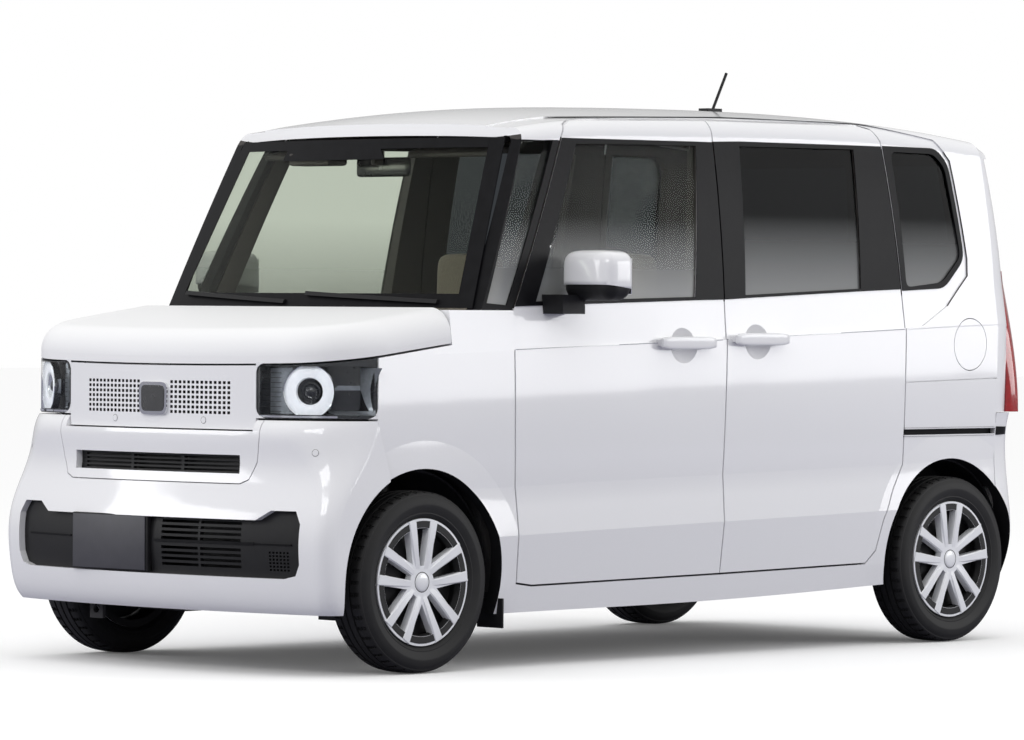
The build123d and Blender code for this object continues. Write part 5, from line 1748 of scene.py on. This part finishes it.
@dataclass(frozen=True)
class Tail:
    """Pieces of the tail: leaning lamps, wiper, handle strip, stop lamp and reflectors.

    Attributes:
        lamp_foot: Outer line of the left lamp at its foot, as x, y.
        lamp_top: The same line at its top.
        lamp_z: Heights of foot and top.
        lamp_steps: Steps over the height of a lamp.
        patches: Name, outline as y, z, corner radius, finish, lift, sink and mesh size of the pieces
            laid on the tailgate.
        reflector: Outline of the left reflector.
        wiper_steps: Steps along the wiper.
        wiper_pivot: Section of the wiper's pivot.
    """

    lamp_foot: tuple[Point, ...] = (
        (-1628, 717), (-1650, 728), (-1676, 729), (-1691, 717), (-1697, 694), (-1697, 612),
        (-1646, 612), (-1646, 640), (-1628, 640),
    )
    lamp_top: tuple[Point, ...] = (
        (-1628, 690), (-1643, 678), (-1655, 665), (-1665, 649), (-1673, 631), (-1678, 612),
        (-1646, 612), (-1646, 632), (-1628, 632),
    )
    lamp_z: Point = (772.0, 1250.0)
    lamp_steps: int = 12
    patches: tuple[tuple[str, tuple[Point, ...], float, Finish, float, float, float], ...] = (
        ("stop_lamp", ((-150, 1652), (150, 1652), (150, 1676), (-150, 1676)), 8, RED_LENS, 4.0, 3.0, 30.0),
        ("handle_strip", ((-330, 905), (330, 905), (310, 955), (-310, 955)), 12, PEARL, 14.0, 3.0, 40.0),
        ("glass_foot_band", ((-560, 1150), (560, 1150), (556, 1186), (-556, 1186)), 6, BLACK_SATIN,
         0.8, 1.0, 40.0),
    )
    reflector: tuple[Point, ...] = ((520, 330), (640, 330), (640, 358), (520, 358))
    wiper_steps: int = 9
    wiper_pivot: tuple[Point, ...] = ((0, 24), (20, 22), (26, 10), (26, 0))

    def lamps(self) -> None:
        """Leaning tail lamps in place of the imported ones."""
        bm = bmesh.new()
        for side in Side:
            rings = []
            for k in range(self.lamp_steps + 1):
                t = k / self.lamp_steps
                lean = t * t * (1.6 - 0.6 * t)
                z = self.lamp_z[0] + (self.lamp_z[1] - self.lamp_z[0]) * t
                ring = []
                for low, high in zip(self.lamp_foot, self.lamp_top):
                    x, y = (a + (b - a) * lean for a, b in zip(low, high))
                    ring.append(bm.verts.new(Vector((x, side * y, z)) * MM))
                rings.append(ring)
            for low, high in zip(rings, rings[1:]):
                for i in range(len(low)):
                    j = (i + 1) % len(low)
                    bm.faces.new((low[i], low[j], high[j], high[i]))
            bm.faces.new(rings[0])
            bm.faces.new(rings[-1])
        made = finish_piece(bm, "leaning_tail_lamps", RED_LENS, Body.SHELL.value, 40.0)
        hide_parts("tail_lamps")

    def build(self) -> None:
        """Build the pieces."""
        self.lamps()
        gate = Body.TAILGATE.value
        skin = Surface("tailgate", "tailgate_glass")
        for name, outline, radius, finish, lift, sink, cell in self.patches:
            lay(name, rounded(outline, radius), Press.REAR, skin, finish, gate, lift, sink, cell)
        bumper = Surface("rear_bumper")
        for side in Side:
            points = rounded(self.reflector, 8)
            points = points if side is Side.LEFT else mirror_points(points)
            name = f"reflector_{side.name.lower()}"
            lay(name, points, Press.REAR, bumper, RED_LENS, Body.SHELL.value, 2.5, 2.0, 24.0)
        start = skin.at(Press.REAR, 0, 1172)
        path = []
        for k in range(self.wiper_steps):
            spot = skin.at(Press.REAR, -20 - 42 * k, 1180 + 9 * k)
            path.append(spot + Vector((-0.014, 0, 0)))
        tube("rear_wiper", path, 6.0, BLACK_PLASTIC, gate)
        back = Vector((-1, 0, 0))
        lathe("rear_wiper_pivot", self.wiper_pivot, start / MM, back, BLACK_PLASTIC, gate, 28)


@dataclass(frozen=True)
class Studio:
    """Camera, floor and lights.

    Attributes:
        eye: Camera position in metres.
        azimuth: Bearing of the camera in degrees.
        elevation: Camera height angle in degrees.
        roll: Turn of the picture in degrees.
        lens: Focal length in millimetres.
        horizon: Brightness of the surroundings at eye level as they light the car.
        zenith: Brightness overhead.
        bounce: Colour of the light that the floor gives back to the car.
        floor_lift: Brightness added to the floor as the camera sees it.
        lamps: Name, place, aim, size and watts of the soft boxes.
    """

    eye: Solid = (13.089253, 12.547943, 1.117113)
    azimuth: float = 133.91
    elevation: float = 0.655
    roll: float = 0.394
    lens: float = 194.34
    horizon: float = 0.38
    zenith: float = 1.22
    bounce: str = "8C8C9C"
    floor_lift: float = 0.065
    lamps: tuple[Lamp, ...] = (
        ("side_left", (-5.8, 6.3, 2.5), (0.0, 0.7, 1.0), (5.0, 2.8), 190.0),
        ("front_right", (7.4, -5.5, 2.5), (1.6, 0.0, 0.8), (4.0, 2.6), 150.0),
        ("front", (8.0, 3.0, 5.0), (1.4, 0.0, 0.8), (4.0, 1.6), 120.0),
    )

    def camera(self) -> None:
        """Place the camera as the photograph was taken."""
        az, el, ro = (math.radians(v) for v in (self.azimuth, self.elevation, self.roll))
        back = Vector((math.sin(az) * math.cos(el), -math.cos(az) * math.cos(el), math.sin(el)))
        right = Vector((math.cos(az), math.sin(az), 0.0))
        up = back.cross(right)
        tilt_right = right * math.cos(ro) + up * math.sin(ro)
        tilt_up = up * math.cos(ro) - right * math.sin(ro)
        data = bpy.data.cameras.new("photo_camera")
        data.lens = self.lens
        data.sensor_width = 36.0
        data.clip_end = 200.0
        obj = bpy.data.objects.new("photo_camera", data)
        turn = Matrix((tilt_right, tilt_up, back)).transposed().to_4x4()
        obj.matrix_world = Matrix.Translation(Vector(self.eye)) @ turn
        bpy.context.scene.collection.objects.link(obj)
        bpy.context.scene.camera = obj

    def floor(self) -> None:
        """Lay a pale floor."""
        bm = bmesh.new()
        bmesh.ops.create_grid(bm, x_segments=1, y_segments=1, size=60.0)
        mesh = bpy.data.meshes.new("floor")
        bm.to_mesh(mesh)
        bm.free()
        obj = bpy.data.objects.new("floor", mesh)
        floor = Finish("studio_floor", "FBFBFB", roughness=1.0).material()
        tree = floor.node_tree
        path = add_node(tree, "ShaderNodeLightPath")
        tone = add_node(tree, "ShaderNodeMix", data_type="RGBA")
        tone.inputs[6].default_value = linear(self.bounce)
        tone.inputs[7].default_value = linear("FBFBFB")
        tree.links.new(path.outputs["Is Camera Ray"], tone.inputs[0])
        bsdf = tree.nodes["Principled BSDF"]
        tree.links.new(tone.outputs[2], bsdf.inputs["Base Color"])
        lift = add_node(tree, "ShaderNodeMath", operation="MULTIPLY")
        lift.inputs[1].default_value = self.floor_lift
        bsdf.inputs["Emission Color"].default_value = linear("FFFFFF")
        tree.links.new(path.outputs["Is Camera Ray"], lift.inputs[0])
        tree.links.new(lift.outputs[0], bsdf.inputs["Emission Strength"])
        mesh.materials.append(floor)
        bpy.context.scene.collection.objects.link(obj)
        obj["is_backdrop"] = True

    def light(self, name: str, place: Solid, aim: Solid, size: Point, power: float) -> None:
        """Hang one soft box.

        Args:
            name: Light name.
            place: Where it hangs.
            aim: Point it faces.
            size: Width and height in metres.
            power: Watts.
        """
        data = bpy.data.lights.new(name, "AREA")
        data.shape = "RECTANGLE"
        data.size, data.size_y = size
        data.energy = power
        obj = bpy.data.objects.new(name, data)
        obj.location = place
        obj.rotation_mode = "QUATERNION"
        obj.rotation_quaternion = (Vector(aim) - Vector(place)).to_track_quat("-Z", "Y")
        bpy.context.scene.collection.objects.link(obj)

    def world(self) -> None:
        """Surroundings paler overhead that show plain white to the camera and through glass."""
        world = bpy.data.worlds.new("studio")
        world.use_nodes = True
        tree = world.node_tree
        back = tree.nodes["Background"]
        path = add_node(tree, "ShaderNodeLightPath")
        seen = add_node(tree, "ShaderNodeMath", operation="MAXIMUM")
        tree.links.new(path.outputs["Is Camera Ray"], seen.inputs[0])
        tree.links.new(path.outputs["Is Transmission Ray"], seen.inputs[1])
        place = add_node(tree, "ShaderNodeTexCoord")
        split = add_node(tree, "ShaderNodeSeparateXYZ")
        tree.links.new(place.outputs["Generated"], split.inputs[0])
        height = add_node(tree, "ShaderNodeMapRange", To_Min=self.horizon, To_Max=self.zenith)
        tree.links.new(split.outputs["Z"], height.inputs["Value"])
        level = add_node(tree, "ShaderNodeMix")
        level.inputs["B"].default_value = 1.0
        tree.links.new(seen.outputs[0], level.inputs["Factor"])
        tree.links.new(height.outputs["Result"], level.inputs["A"])
        tree.links.new(level.outputs["Result"], back.inputs["Strength"])
        back.inputs["Color"].default_value = linear("FFFFFF")
        bpy.context.scene.world = world
        bpy.context.scene.view_settings.view_transform = "Standard"

    def build(self) -> None:
        """Set up the whole studio."""
        self.camera()
        self.floor()
        self.world()
        for lamp in self.lamps:
            self.light(*lamp)


def main() -> None:
    """Build the scene and report each piece."""
    logging.basicConfig(level=logging.INFO)
    dress_frame()
    parts = (SideTrim(), Windscreen(), HeadLamp(), Nose(), WheelTrim(), Tyre(), Cabin(), DoorTrim(), Tail())
    for part in parts:
        part.build()
    Studio().build()
    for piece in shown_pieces():
        LOG.info("piece %s", piece.name)


if __name__ == "__main__":
    main()
